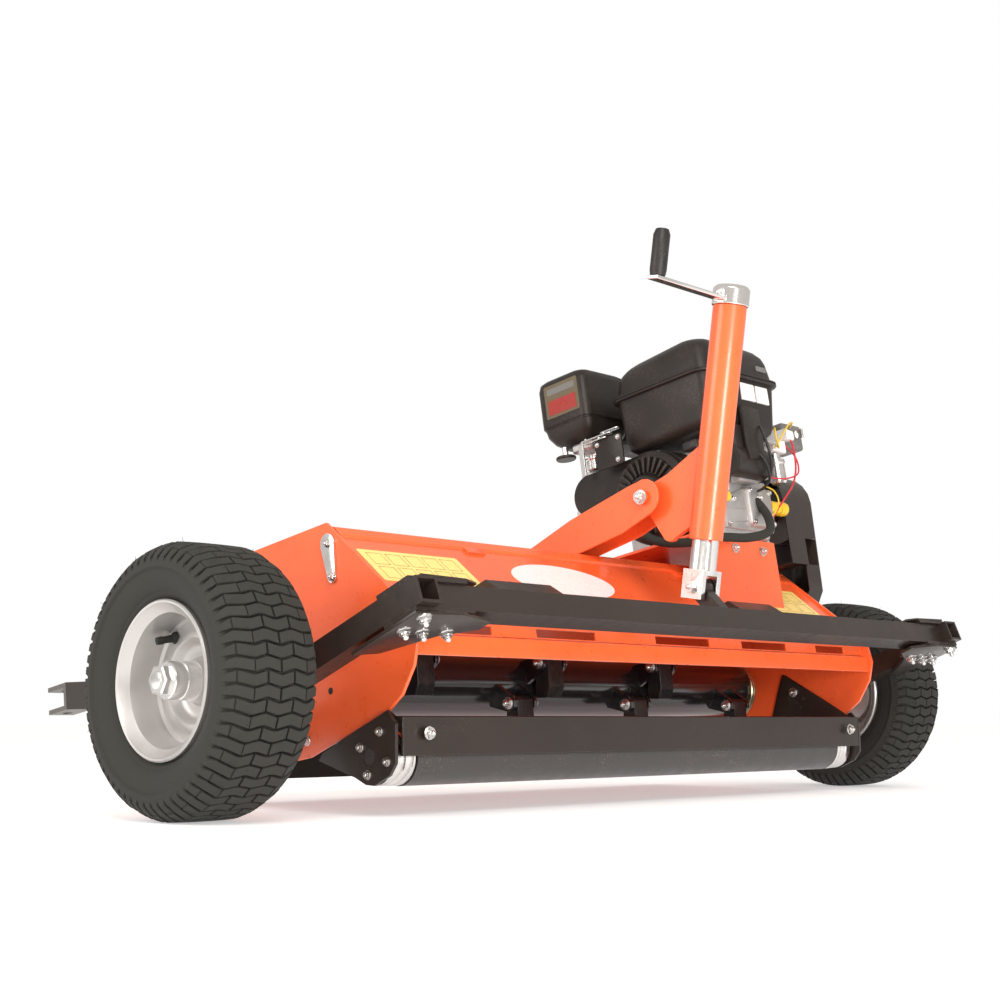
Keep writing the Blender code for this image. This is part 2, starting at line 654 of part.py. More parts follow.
def make_engine(root):
    plate = ENGINE_BASE_TOP - 0.006
    foot = on_slope(ENGINE_BASE_REAR)
    inner_foot = on_slope(ENGINE_BASE_REAR + 0.006)
    base = ((ENGINE_BASE_REAR, foot), (ENGINE_BASE_REAR, ENGINE_BASE_TOP), (0.140, ENGINE_BASE_TOP),
            (0.140, DECK_TOP + GAP), (0.134, DECK_TOP + GAP), (0.134, plate),
            (ENGINE_BASE_REAR + 0.006, plate), (ENGINE_BASE_REAR + 0.006, inner_foot))
    solid("engine_base", prism(base, "X", 0.210, 0.475), "orange", root)
    floor = ENGINE_BASE_TOP + GAP
    crank = (CRANK_Y, CRANK_Z)
    case = solid("crankcase", box((0.290, -0.146, floor), (0.462, 0.090, 0.476), 0.012), "cast", root)
    side_cover = ((0.455, 0.0), (0.455, 0.098), (0.492, 0.090), (0.512, 0.045), (0.512, 0.0))
    join(case, turned(side_cover, "X", crank, 28))
    cut(case, rod("X", crank, CRANKSHAFT_RADIUS + 0.0008, 0.440, 0.600, 20))
    fins = [(0.124, 0.052)]
    for i in range(FINS):
        start = 0.128 + i * FIN_PITCH
        fins += [(start, 0.052), (start, 0.064), (start + 0.006, 0.064), (start + 0.006, 0.052)]
    fins += [(0.218, 0.052), (0.234, 0.044)]
    fins += [(along, -across) for along, across in reversed(fins)]
    head = [turn(point, math.radians(20.0)) for point in fins]
    head = shift(head, CRANK_Y + 0.031, CRANK_Z)
    solid("cylinder_head", prism(head, "X", 0.300, 0.450), "cast", root)
    housing = around(crank, 0.098, (0.135, 0.435), 0.045, 12)
    solid("fan_housing", prism(housing, "X", 0.236, 0.290 - GAP), "plastic", root)
    face = 0.236 - GAP
    recoil = ((face, 0.0), (face, 0.095), (face - 0.018, 0.093), (face - 0.034, 0.078),
              (face - 0.040, 0.050), (face - 0.040, 0.0))
    solid("recoil_cover", turned(recoil, "X", crank, 32), "plastic", root)
    make_controls(root)
    body = box((0.230, -0.204, 0.4915), (0.480, 0.034, 0.690), 0.024, 3)
    tank = solid("fuel_tank", body, "plastic", root)
    join(tank, box((0.221, -0.213, 0.603), (0.489, 0.043, 0.612)))
    cap_at = (0.350, -0.085, 0.690)
    cap_body = empty("fuel_cap_axis", root, cap_at)
    cap = ((0.690 + GAP, 0.0), (0.690 + GAP, 0.030), (0.706, 0.028), (0.709, 0.022), (0.709, 0.0))
    solid("fuel_cap", turned(cap, "Z", cap_at[:2], 24), "plastic", cap_body, cap_at)
    solid("air_cleaner", box((0.198, 0.080, 0.546), (0.350, 0.215, 0.702), 0.016), "plastic", root)
    solid("carburettor", box((0.215, 0.095, 0.5255), (0.290, 0.150, 0.546 - GAP), 0.004, 1), "cast", root)
    muffler = solid("muffler", box((0.3605, 0.060, 0.565), (0.500, 0.215, 0.690), 0.016), "black", root)
    cut(muffler, box((0.3635, 0.063, 0.568), (0.497, 0.212, 0.687), 0.014))
    cut(muffler, rod("X", (0.180, 0.600), 0.011, 0.490, 0.510, 16))
    motor = ((0.300, 0.0), (0.300, 0.032), (0.412, 0.032), (0.420, 0.024), (0.420, 0.0))
    solid("starter_motor", turned(motor, "X", (-0.179, 0.432), 24), "plastic", root)
    solid("oil_cap", rod("X", (-0.112, 0.372), 0.014, 0.513, 0.548, 16), "yellow", root)
    make_belt_drive(root)


def on_slope(y):
    """Height of the deck's rear slope at y, with a gap for what stands on it."""
    run = DECK_RIDGE_Y - DECK_REAR_Y
    rise = DECK_TOP - 0.074
    lean = math.hypot(run, rise) / run
    return 0.074 + (y - DECK_REAR_Y) * rise / run + GAP * lean


def make_controls(root):
    """The starter rope handle, the key switch on its box and the throttle lever."""
    handle_at = (0.216, -0.162, 0.455)
    handle_body = empty("recoil_handle_axis", root, handle_at)
    handle = box((0.206, -0.176, 0.446), (0.226, -0.140, 0.466), 0.005)
    solid("recoil_handle", handle, "plastic", handle_body, handle_at)
    housing = box((0.560, -0.150, 0.500), (0.632, -0.090, 0.556), 0.006)
    control = solid("control_box", housing, "plastic", root)
    join(control, box((0.500, -0.128, 0.516), (0.566, -0.118, 0.540)))
    key_at = (0.600, -0.150, 0.530)
    key_body = empty("key_axis", root, key_at)
    key = ((-0.150 - GAP, 0.0), (-0.150 - GAP, 0.009), (-0.158, 0.009), (-0.158, 0.0))
    key_switch = solid("key_switch", turned(key, "Y", (0.600, 0.530), 16), "steel", key_body, key_at)
    join(key_switch, box((0.5975, -0.172, 0.520), (0.6025, -0.156, 0.540)))
    lever_at = (0.2127, 0.121, 0.532)
    lever_body = empty("throttle_axis", root, lever_at)
    lever = box((0.2107, 0.115, 0.470), (0.2147, 0.127, 0.538))
    solid("throttle_lever", lever, "steel", lever_body, lever_at)


def make_belt_drive(root):
    crank = (CRANK_Y, CRANK_Z)
    rotor = (ROTOR_Y, ROTOR_Z)
    body = empty("crankshaft_axis", root, (0.0, *crank))
    profile = [(0.445, 0.0), (0.445, CRANKSHAFT_RADIUS)]
    profile += list(pulley_profile(ENGINE_PULLEY, BELT_X, CRANKSHAFT_RADIUS))[:-1]
    profile += [(BELT_X + PULLEY_HALF_WIDTH, 0.0)]
    solid("engine_pulley", turned(profile, "X", crank, 32), "cast", body, (0.0, *crank))
    inner = around(crank, ENGINE_PULLEY + BELT_PLAY, rotor, ROTOR_PULLEY + BELT_PLAY)
    outer = around(crank, ENGINE_PULLEY + 0.008, rotor, ROTOR_PULLEY + 0.008)
    belt = ring_prism(outer, inner, "X", BELT_X - BELT_HALF_WIDTH, BELT_X + BELT_HALF_WIDTH)
    solid("drive_belt", belt, "rubber", root)
    near = DECK_HALF_WIDTH + COVER_STANDOFF
    far = BELT_X + PULLEY_HALF_WIDTH + COVER_WALL + 0.004
    cover = solid("belt_cover", prism(cover_outline(0.0), "X", near, far), "black", root)
    inner = far - COVER_REACH
    floor = DECK_TOP + COVER_DECK_GAP
    join(cover, prism(cover_head(0.0, floor), "X", inner, near + COVER_WALL))
    cut(cover, prism(cover_head(COVER_WALL, floor + COVER_WALL), "X", inner - 0.01, far - COVER_WALL))
    cut(cover, prism(cover_outline(COVER_WALL), "X", near - 0.01, far - COVER_WALL))


def cover_outline(wall):
    """The belt guard seen along the axles, shrunk by its wall for the hollow."""
    top = arc((CRANK_Y, CRANK_Z + 0.015), 0.072 - wall, 0.0, 180.0, 10)
    foot = arc((ROTOR_Y, ROTOR_Z), 0.074 - wall, 180.0, 360.0, 10)
    return top + [(-0.100 + wall, 0.205)] + foot + [(0.150 - wall, 0.205)]


def cover_head(wall, floor):
    """The wide head of the belt guard over the deck, down to its floor."""
    top = arc((CRANK_Y, CRANK_Z + 0.015), 0.072 - wall, 0.0, 180.0, 10)
    return top + [(CRANK_Y - 0.072 + wall, floor), (CRANK_Y + 0.072 - wall, floor)]


# ---- hitch ------------------------------------------------------------------------------------

def make_hitch(root):
    """The rising drawbar with its deck flange, parking stand and two-plate coupling."""
    half = DRAWBAR_SIZE / 2
    back = DECK_FRONT_Y + GAP
    start_z = DRAWBAR_Z - DRAWBAR_RISE
    slope = DRAWBAR_RISE / (DRAWBAR_FRONT - back)
    outer = shift(square(half), DRAWBAR_X, start_z)
    inner = shift(square(half - TUBE_WALL), DRAWBAR_X, start_z)
    bar = ring_prism(outer, inner, "Y", back, DRAWBAR_FRONT)
    for vertex in bar.verts:
        vertex.co.z += slope * (vertex.co.y - back)
    drawbar = solid("drawbar", bar, "black", root)
    low = (DRAWBAR_X - 2 * half, back, start_z - 0.050)
    high = (DRAWBAR_X + 2 * half, back + 0.008, 0.120)
    join(drawbar, box(low, high))
    front = DRAWBAR_FRONT + RUNNING
    low = (DRAWBAR_X - half, front, DRAWBAR_Z - half)
    high = (DRAWBAR_X + half, front + 0.010, DRAWBAR_Z + half)
    coupling = solid("hitch_coupling", box(low, high), "cast", root)
    for bottom in (DRAWBAR_Z - half, DRAWBAR_Z + half - 0.010):
        low = (DRAWBAR_X - half, front + 0.005, bottom)
        join(coupling, box(low, (DRAWBAR_X + half, front + 0.075, bottom + 0.010)))
    cut(coupling, rod("Z", (DRAWBAR_X, front + 0.048), 0.0105, DRAWBAR_Z - 0.1, DRAWBAR_Z + 0.1, 20))
    make_stand(root, drawbar, start_z + slope * (STAND_Y - back))


def make_stand(root, drawbar, sleeve_z):
    """The parking stand: a leg that slides in a sleeve on the drawbar, on a round foot bar."""
    opening = STAND_LEG + STAND_PLAY
    outside = opening + SLEEVE_WALL
    leg_x = DRAWBAR_X - DRAWBAR_SIZE / 2 - outside + RUNNING
    outer = shift(square(outside), leg_x, STAND_Y)
    inner = shift(square(opening), leg_x, STAND_Y)
    reach = SLEEVE_HALF_HEIGHT
    join(drawbar, ring_prism(outer, inner, "Z", sleeve_z - reach, sleeve_z + reach))
    foot_z = (STAND_FOOT - TYRE_RADIUS + STAND_Y * math.sin(NOSE_DOWN)) / math.cos(NOSE_DOWN)
    leg_at = (leg_x, STAND_Y, sleeve_z)
    body = empty("stand_axis", root, leg_at)
    low = (leg_x - STAND_LEG, STAND_Y - STAND_LEG, foot_z)
    high = (leg_x + STAND_LEG, STAND_Y + STAND_LEG, sleeve_z + 0.180)
    leg = solid("parking_stand", box(low, high), "black", body, leg_at)
    join(leg, rod("X", (STAND_Y, foot_z), STAND_FOOT, leg_x - 0.060, leg_x + 0.060, 24))


def make_conduit(root):
    """The wiring conduit that sags from the mast to the engine's starter side."""
    route = [(0.181, -0.004, 0.331), (0.184, -0.060, 0.285), (0.188, -0.130, 0.264), (0.215, -0.190, 0.262),
             (0.290, -0.205, 0.264), (0.370, -0.200, 0.285), (0.404, -0.180, 0.325), (0.404, -0.158, 0.363)]
    curve = bpy.data.curves.new("conduit", "CURVE")
    curve.dimensions = "3D"
    curve.bevel_depth = 0.009
    curve.bevel_resolution = 2
    curve.use_fill_caps = True
    spline = curve.splines.new("POLY")
    points = smooth(route, 5)
    spline.points.add(len(points) - 1)
    for target, point in zip(spline.points, points):
        target.co = (*point, 1.0)
    obj = bpy.data.objects.new("conduit", curve)
    bpy.context.scene.collection.objects.link(obj)
    obj.parent = root
    finish_material(obj, "rubber")


def smooth(route, steps):
    """Points along a Catmull-Rom curve through the route."""
    points = []
    padded = [route[0]] + list(route) + [route[-1]]
    for i in range(len(route) - 1):
        a, b, c, d = (Vector(p) for p in padded[i:i + 4])
        for step in range(steps):
            t = step / steps
            points.append(tuple(0.5 * (2 * b + (c - a) * t + (2 * a - 5 * b + 4 * c - d) * t * t
                                       + (3 * b - a - 3 * c + d) * t ** 3)))
    points.append(tuple(route[-1]))
    return points


def stand_on_ground(root):
    """Move the machine along Y so that the middle of its length is over the world origin."""
    bpy.context.view_layer.update()
    graph = bpy.context.evaluated_depsgraph_get()
    reach = []
    for obj in bpy.context.scene.objects:
        if obj.type == "MESH" and not obj.hide_render:
            evaluated = obj.evaluated_get(graph)
            reach += [(evaluated.matrix_world @ vertex.co).y for vertex in evaluated.data.vertices]
    root.location.y -= (min(reach) + max(reach)) / 2


def main():
    clear_scene()
    root = empty("stance", None, (0.0, 0.0, TYRE_RADIUS), -NOSE_DOWN)
    make_deck(root)
    make_roller(root)
    make_rotor(root)
    make_wheel_frame(root)
    make_mast(root)
    make_jack(root)
    make_engine(root)
    make_conduit(root)
    make_hitch(root)
    stand_on_ground(root)


main()
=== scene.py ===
"""Looks, fine detail and studio for a towed flail brush mower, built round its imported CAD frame."""

import json
import logging
import math
from dataclasses import dataclass, field
from enum import Enum
from typing import Iterable, Sequence

import bmesh
import bpy
from mathutils import Matrix, Vector

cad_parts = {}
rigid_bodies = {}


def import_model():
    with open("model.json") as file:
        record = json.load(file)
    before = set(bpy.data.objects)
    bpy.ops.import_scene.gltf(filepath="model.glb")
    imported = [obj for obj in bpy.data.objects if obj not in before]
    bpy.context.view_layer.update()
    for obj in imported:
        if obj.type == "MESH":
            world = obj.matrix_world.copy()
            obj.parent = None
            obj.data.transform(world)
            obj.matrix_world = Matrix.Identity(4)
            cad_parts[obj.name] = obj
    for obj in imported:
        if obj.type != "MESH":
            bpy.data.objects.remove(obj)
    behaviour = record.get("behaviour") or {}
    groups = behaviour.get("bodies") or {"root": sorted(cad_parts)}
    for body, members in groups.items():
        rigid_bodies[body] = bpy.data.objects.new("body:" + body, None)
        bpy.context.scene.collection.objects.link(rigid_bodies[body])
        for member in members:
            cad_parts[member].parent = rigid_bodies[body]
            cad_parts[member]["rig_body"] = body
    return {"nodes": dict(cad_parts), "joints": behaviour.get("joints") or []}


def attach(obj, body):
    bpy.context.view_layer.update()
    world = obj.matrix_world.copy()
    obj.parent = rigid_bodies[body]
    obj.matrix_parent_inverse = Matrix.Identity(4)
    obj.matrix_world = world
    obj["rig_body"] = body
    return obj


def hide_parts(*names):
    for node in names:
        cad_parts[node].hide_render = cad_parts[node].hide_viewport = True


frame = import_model()

log = logging.getLogger("brush_mower")
Point = Sequence[float]
Outline = Sequence[Sequence[float]]
FULL_TURN = 2 * math.pi
SIDES = {"left": -1, "right": 1}


# ---- shared frame -----------------------------------------------------------------------------

class Axis(Enum):
    """The machine axis that an outline is pushed along or turned about."""

    X = (0, 1, 2)
    Y = (1, 0, 2)
    Z = (2, 0, 1)


@dataclass(frozen=True)
class Stance:
    """Where the machine's own frame stands in the world: origin on the axle line, nose down."""

    nose_down: float = math.radians(9.4)

    @property
    def matrix(self) -> Matrix:
        """The machine frame as a world matrix."""
        axle = next(j for j in frame["joints"] if j["name"] == "wheel_spin_left")["pos_m"]
        place = Matrix.Translation((0.0, axle[1], axle[2]))
        return place @ Matrix.Rotation(-self.nose_down, 4, "X")

    def jack(self) -> Matrix:
        """The jack's frame: origin at the clevis pin and Z up the tube."""
        joint = next(j for j in frame["joints"] if j["name"] == "crank_spin")
        up = Vector(joint["axis"])
        lean = math.atan2(-up.y, up.z)
        return Matrix.Translation(joint["pos_m"]) @ Matrix.Rotation(lean, 4, "X")


STANCE = Stance()
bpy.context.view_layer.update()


# ---- finishes ---------------------------------------------------------------------------------

@dataclass(frozen=True)
class Grain:
    """How fine each noise pattern is, in features to the metre."""

    clouds: float = 5.0
    patches: float = 9.0
    scuffs: float = 16.0
    stains: float = 28.0
    dents: float = 30.0
    smears: float = 40.0
    rubbed: float = 60.0
    chips: float = 120.0
    settled_dust: float = 240.0
    cast_skin: float = 260.0
    orange_peel: float = 380.0
    speckles: float = 420.0


GRAIN = Grain()
WORN_BAND = 0.0012
TINY_RELIEF = 0.0002
FINE_RELIEF = 0.0003
PEEL_RELIEF = 0.0006
SOFT_RELIEF = 0.0008
CAST_RELIEF = 0.0012


class Sheet:
    """A short way to place and wire shader nodes."""

    def __init__(self, name: str) -> None:
        """Start a material with only its output and a Principled shader.

        Args:
            name: Name of the material.
        """
        self.material = bpy.data.materials.new(name)
        self.material.use_nodes = True
        self.tree = self.material.node_tree
        self.shader = self.tree.nodes["Principled BSDF"]
        self.place = self.tree.nodes.new("ShaderNodeTexCoord")

    def add(self, kind: str, **inputs: object) -> bpy.types.Node:
        """Add a node.

        Args:
            kind: Class name of the node after "ShaderNode".
            **inputs: Values or sockets by input name, with underscores for spaces.

        Returns:
            The node.
        """
        node = self.tree.nodes.new(f"ShaderNode{kind}")
        for key, value in inputs.items():
            self.wire(node, key.replace("_", " "), value)
        return node

    def wire(self, node: bpy.types.Node, key: str, value: object) -> None:
        """Link a socket to an input, or set the input's value."""
        socket = node.inputs[key]
        if isinstance(value, bpy.types.NodeSocket):
            self.tree.links.new(value, socket)
        else:
            socket.default_value = value

    def noise(self, scale: float, detail: float = 4.0,
              stretch: Point = (1.0, 1.0, 1.0)) -> bpy.types.NodeSocket:
        """A noise pattern on object coordinates.

        Args:
            scale: Features to the metre.
            detail: Layers of finer noise.
            stretch: Scale along each axis.

        Returns:
            The noise value's socket.
        """
        mapping = self.add("Mapping", Vector=self.place.outputs["Object"], Scale=stretch)
        node = self.add("TexNoise", Vector=mapping.outputs["Vector"], Scale=scale, Detail=detail)
        return node.outputs[0]

    def ramp(self, value: bpy.types.NodeSocket, low: float, high: float, start: float = 0.0,
             end: float = 1.0) -> bpy.types.NodeSocket:
        """Spread a value between two limits.

        Args:
            value: What to spread.
            low: Value that gives start.
            high: Value that gives end.
            start: Result at low.
            end: Result at high.

        Returns:
            The spread value's socket.
        """
        node = self.tree.nodes.new("ShaderNodeMapRange")
        node.clamp = True
        self.tree.links.new(value, node.inputs["Value"])
        node.inputs["From Min"].default_value = low
        node.inputs["From Max"].default_value = high
        node.inputs["To Min"].default_value = start
        node.inputs["To Max"].default_value = end
        return node.outputs["Result"]

    def math(self, operation: str, first: object, second: object = 0.0) -> bpy.types.NodeSocket:
        """Combine two values with one operation and return the result's socket."""
        node = self.tree.nodes.new("ShaderNodeMath")
        node.operation = operation
        for socket, value in zip(node.inputs, (first, second)):
            if isinstance(value, bpy.types.NodeSocket):
                self.tree.links.new(value, socket)
            else:
                socket.default_value = value
        return node.outputs[0]

    def mix(self, factor: bpy.types.NodeSocket, first: object, second: object) -> bpy.types.NodeSocket:
        """Mix two colours.

        Args:
            factor: Share of the second colour.
            first: A colour or socket.
            second: A colour or socket.

        Returns:
            The mixed colour's socket.
        """
        node = self.tree.nodes.new("ShaderNodeMix")
        node.data_type = "RGBA"
        self.tree.links.new(factor, node.inputs["Factor"])
        for socket, value in ((node.inputs[6], first), (node.inputs[7], second)):
            if isinstance(value, bpy.types.NodeSocket):
                self.tree.links.new(value, socket)
            else:
                socket.default_value = (*value[:3], 1.0)
        return node.outputs[2]

    def edges(self, radius: float) -> bpy.types.NodeSocket:
        """A mask that is near one in a narrow band along sharp edges.

        Args:
            radius: Width of the band in metres.

        Returns:
            The mask's socket.
        """
        bevel = self.add("Bevel", Radius=radius)
        bevel.samples = 4
        normal = self.add("NewGeometry")
        dot = self.tree.nodes.new("ShaderNodeVectorMath")
        dot.operation = "DOT_PRODUCT"
        self.tree.links.new(bevel.outputs["Normal"], dot.inputs[0])
        self.tree.links.new(normal.outputs["Normal"], dot.inputs[1])
        return self.ramp(dot.outputs["Value"], 0.99, 0.90)

    def bump(self, height: bpy.types.NodeSocket, strength: float, distance: float) -> None:
        """Give the shader a bump from a height pattern.

        Args:
            height: The pattern.
            strength: Share of the full effect.
            distance: Height of the pattern in metres.
        """
        previous = self.shader.inputs["Normal"].links
        node = self.add("Bump", Height=height, Strength=strength, Distance=distance)
        if previous:
            self.tree.links.new(previous[0].from_socket, node.inputs["Normal"])
        self.tree.links.new(node.outputs["Normal"], self.shader.inputs["Normal"])

    def set(self, **inputs: object) -> None:
        """Set or link inputs of the Principled shader by name."""
        for key, value in inputs.items():
            self.wire(self.shader, key.replace("_", " "), value)


@dataclass(frozen=True)
class Paint:
    """Powder coat or enamel: orange peel, faint cloudiness, dust, and worn bright edges."""

    name: str
    colour: tuple[float, float, float]
    dust_colour: tuple[float, float, float] = (0.30, 0.24, 0.19)
    worn_colour: tuple[float, float, float] = (0.30, 0.29, 0.28)
    roughness: float = 0.32
    dust: float = 0.25
    wear: float = 0.5
    coat: float = 0.35
    metallic: float = 0.0
    peel: float = 0.12
    gloss: float = 0.5

    def make(self) -> bpy.types.Material:
        """Build the paint.

        Returns:
            The material.
        """
        sheet = Sheet(self.name)
        cloud = sheet.noise(GRAIN.clouds, 3.0)
        shade = sheet.mix(sheet.ramp(cloud, 0.35, 0.65), [c * 0.90 for c in self.colour],
                          [min(1.0, c * 1.06) for c in self.colour])
        speckle = sheet.ramp(sheet.noise(GRAIN.speckles, 3.0), 0.60, 0.74)
        patch = sheet.ramp(sheet.noise(GRAIN.patches, 6.0), 0.45, 0.75)
        dust = sheet.math("MULTIPLY", sheet.math("MULTIPLY", speckle, patch), self.dust)
        shade = sheet.mix(dust, shade, self.dust_colour)
        chips = sheet.ramp(sheet.noise(GRAIN.chips, 5.0), 0.52, 0.60)
        worn = sheet.math("MULTIPLY", sheet.math("MULTIPLY", sheet.edges(WORN_BAND), chips), self.wear)
        shade = sheet.mix(worn, shade, self.worn_colour)
        smears = sheet.noise(GRAIN.smears, 6.0)
        rough = sheet.ramp(smears, 0.3, 0.7, self.roughness * 0.85, self.roughness * 1.25)
        rough = sheet.math("ADD", rough, sheet.math("MULTIPLY", dust, 0.6))
        sheet.set(Base_Color=shade, Roughness=rough, Metallic=self.metallic, Coat_Weight=self.coat,
                  Coat_Roughness=0.12, Specular_IOR_Level=self.gloss)
        sheet.bump(sheet.noise(GRAIN.orange_peel, 2.0), self.peel, PEEL_RELIEF)
        sheet.bump(worn, 0.4, TINY_RELIEF)
        return sheet.material


@dataclass(frozen=True)
class Metal:
    """Bare or plated metal with fine machining lines, stains and a cast skin if asked."""

    name: str
    colour: tuple[float, float, float]
    stain_colour: tuple[float, float, float] = (0.20, 0.18, 0.16)
    roughness: float = 0.25
    stain: float = 0.35
    grain: float = 900.0
    cast: float = 0.0
    metallic: float = 1.0

    def make(self) -> bpy.types.Material:
        """Build the metal.

        Returns:
            The material.
        """
        sheet = Sheet(self.name)
        lines = sheet.noise(self.grain, 4.0, (1.0, 1.0, 0.08))
        stains = sheet.ramp(sheet.noise(GRAIN.stains, 8.0), 0.48, 0.80)
        tone = sheet.mix(sheet.ramp(lines, 0.3, 0.7), [c * 0.92 for c in self.colour], self.colour)
        shade = sheet.mix(sheet.math("MULTIPLY", stains, self.stain), tone, self.stain_colour)
        rough = sheet.math("ADD", sheet.ramp(lines, 0.3, 0.7, self.roughness * 0.8, self.roughness * 1.3),
                           sheet.math("MULTIPLY", stains, 0.25 * self.stain))
        sheet.set(Base_Color=shade, Roughness=rough, Metallic=self.metallic)
        sheet.bump(lines, 0.08, TINY_RELIEF)
        if self.cast:
            sheet.bump(sheet.noise(GRAIN.cast_skin, 6.0), self.cast, CAST_RELIEF)
        return sheet.material


@dataclass(frozen=True)
class Polymer:
    """Moulded plastic or rubber: spark-eroded grain, scuffs and settled dust."""

    name: str
    colour: tuple[float, float, float]
    dust_colour: tuple[float, float, float] = (0.18, 0.14, 0.11)
    roughness: float = 0.5
    dust: float = 0.3
    grain: float = 700.0
    depth: float = 0.25
    gloss: float = 0.35

    def make(self) -> bpy.types.Material:
        """Build the polymer.

        Returns:
            The material.
        """
        sheet = Sheet(self.name)
        patch = sheet.ramp(sheet.noise(GRAIN.scuffs, 7.0), 0.42, 0.75)
        fine = sheet.ramp(sheet.noise(GRAIN.settled_dust, 4.0), 0.40, 0.70)
        dust = sheet.math("MULTIPLY", sheet.math("MULTIPLY", patch, fine), self.dust)
        shade = sheet.mix(dust, self.colour, self.dust_colour)
        rubbed = sheet.noise(GRAIN.rubbed, 6.0)
        rough = sheet.ramp(rubbed, 0.3, 0.7, self.roughness * 0.88, self.roughness * 1.15)
        sheet.set(Base_Color=shade, Roughness=rough, Specular_IOR_Level=self.gloss)
        sheet.bump(sheet.noise(self.grain, 2.0), self.depth, FINE_RELIEF)
        sheet.bump(sheet.noise(GRAIN.dents, 4.0), 0.15, SOFT_RELIEF)
        return sheet.material


class Finish(Enum):
    """Every finish on the machine, in a maker's words."""

    ORANGE = Paint("orange_powder_coat", (0.92, 0.125, 0.030), roughness=0.30, dust=0.18, wear=0.35,
                   worn_colour=(0.95, 0.30, 0.14))
    BLACK = Paint("black_powder_coat", (0.024, 0.0165, 0.0135), roughness=0.34, dust=0.22, wear=0.5,
                  worn_colour=(0.16, 0.13, 0.11), coat=0.15, gloss=0.35)
    ROLLER = Paint("roller_enamel", (0.030, 0.026, 0.024), roughness=0.34, dust=0.95, wear=0.6, coat=0.25,
                   dust_colour=(0.38, 0.31, 0.25), worn_colour=(0.20, 0.18, 0.16))
    ROTOR = Paint("rotor_enamel", (0.012, 0.011, 0.012), roughness=0.16, dust=0.15, wear=0.3, coat=0.7)
    WHEEL = Paint("silver_wheel_enamel", (0.50, 0.485, 0.475), roughness=0.36, dust=0.30, wear=0.3,
                  metallic=0.55, dust_colour=(0.40, 0.34, 0.29), worn_colour=(0.62, 0.60, 0.58))
    HEAT = Paint("heatproof_black", (0.020, 0.018, 0.017), roughness=0.60, dust=0.5, wear=0.4, coat=0.0,
                 peel=0.3)
    ZINC = Metal("bright_zinc", (0.80, 0.79, 0.78), roughness=0.20, stain=0.25)
    STEEL = Metal("turned_steel", (0.62, 0.60, 0.58), roughness=0.26, stain=0.30)
    CHROME = Metal("nickel_plate", (0.86, 0.84, 0.83), roughness=0.13, stain=0.12)
    ALLOY = Metal("die_cast_alloy", (0.58, 0.565, 0.56), roughness=0.46, stain=0.35, cast=0.35,
                  metallic=0.85)
    FORGED = Metal("forged_black", (0.030, 0.028, 0.028), roughness=0.30, stain=0.5, cast=0.4, metallic=0.5,
                   stain_colour=(0.10, 0.07, 0.05))
    BRASSY = Metal("yellow_zinc", (0.72, 0.62, 0.42), roughness=0.28, stain=0.4)
    IRON = Metal("cast_iron", (0.22, 0.21, 0.20), roughness=0.45, stain=0.5, cast=0.5)
    TYRE = Polymer("tyre_rubber", (0.0160, 0.0110, 0.0080), roughness=0.62, dust=0.60, grain=500.0,
                   depth=0.35, dust_colour=(0.060, 0.039, 0.026), gloss=0.20)
    RUBBER = Polymer("sheet_rubber", (0.018, 0.017, 0.017), roughness=0.60, dust=0.3)
    PLASTIC = Polymer("black_moulding", (0.0180, 0.0140, 0.0120), roughness=0.38, dust=0.20, grain=900.0,
                      depth=0.3, gloss=0.30)
    GRIP = Polymer("grip_moulding", (0.016, 0.014, 0.014), roughness=0.42, dust=0.2, grain=1200.0)
    GREY = Polymer("grey_moulding", (0.16, 0.155, 0.15), roughness=0.45, dust=0.3)
    YELLOW = Polymer("yellow_moulding", (0.82, 0.52, 0.02), roughness=0.35, dust=0.2)
    RED_WIRE = Polymer("red_wire", (0.55, 0.03, 0.04), roughness=0.4, dust=0.1)
    YELLOW_WIRE = Polymer("yellow_wire", (0.75, 0.50, 0.03), roughness=0.4, dust=0.1)
    BLACK_WIRE = Polymer("black_wire", (0.02, 0.02, 0.02), roughness=0.4, dust=0.1)
    YELLOW_PLATE = Polymer("yellow_film", (0.92, 0.66, 0.20), roughness=0.28, dust=0.06, depth=0.05,
                           dust_colour=(0.7, 0.5, 0.3))
    WHITE_PLATE = Polymer("white_film", (0.80, 0.76, 0.75), roughness=0.28, dust=0.06, depth=0.05,
                          dust_colour=(0.6, 0.5, 0.45))
    RED_PLATE = Polymer("red_film", (0.30, 0.035, 0.03), roughness=0.30, dust=0.2, depth=0.05)
    LINE = Polymer("dark_print", (0.12, 0.10, 0.06), roughness=0.35, dust=0.1, depth=0.05)

    def material(self) -> bpy.types.Material:
        """The finish's material, made the first time it is asked for."""
        return bpy.data.materials.get(self.value.name) or self.value.make()


# ---- mesh workshop ----------------------------------------------------------------------------

SAME_POINT = 1e-6
SAME_CAD_POINT = 2e-5
FLAT_WITHIN = math.radians(0.6)


def spread(axis: Axis, along: float, first: float, second: float) -> Vector:
    """Place a point along an axis and at first and second on the other two."""
    point = Vector((0.0, 0.0, 0.0))
    for index, value in zip(axis.value, (along, first, second)):
        point[index] = value
    return point


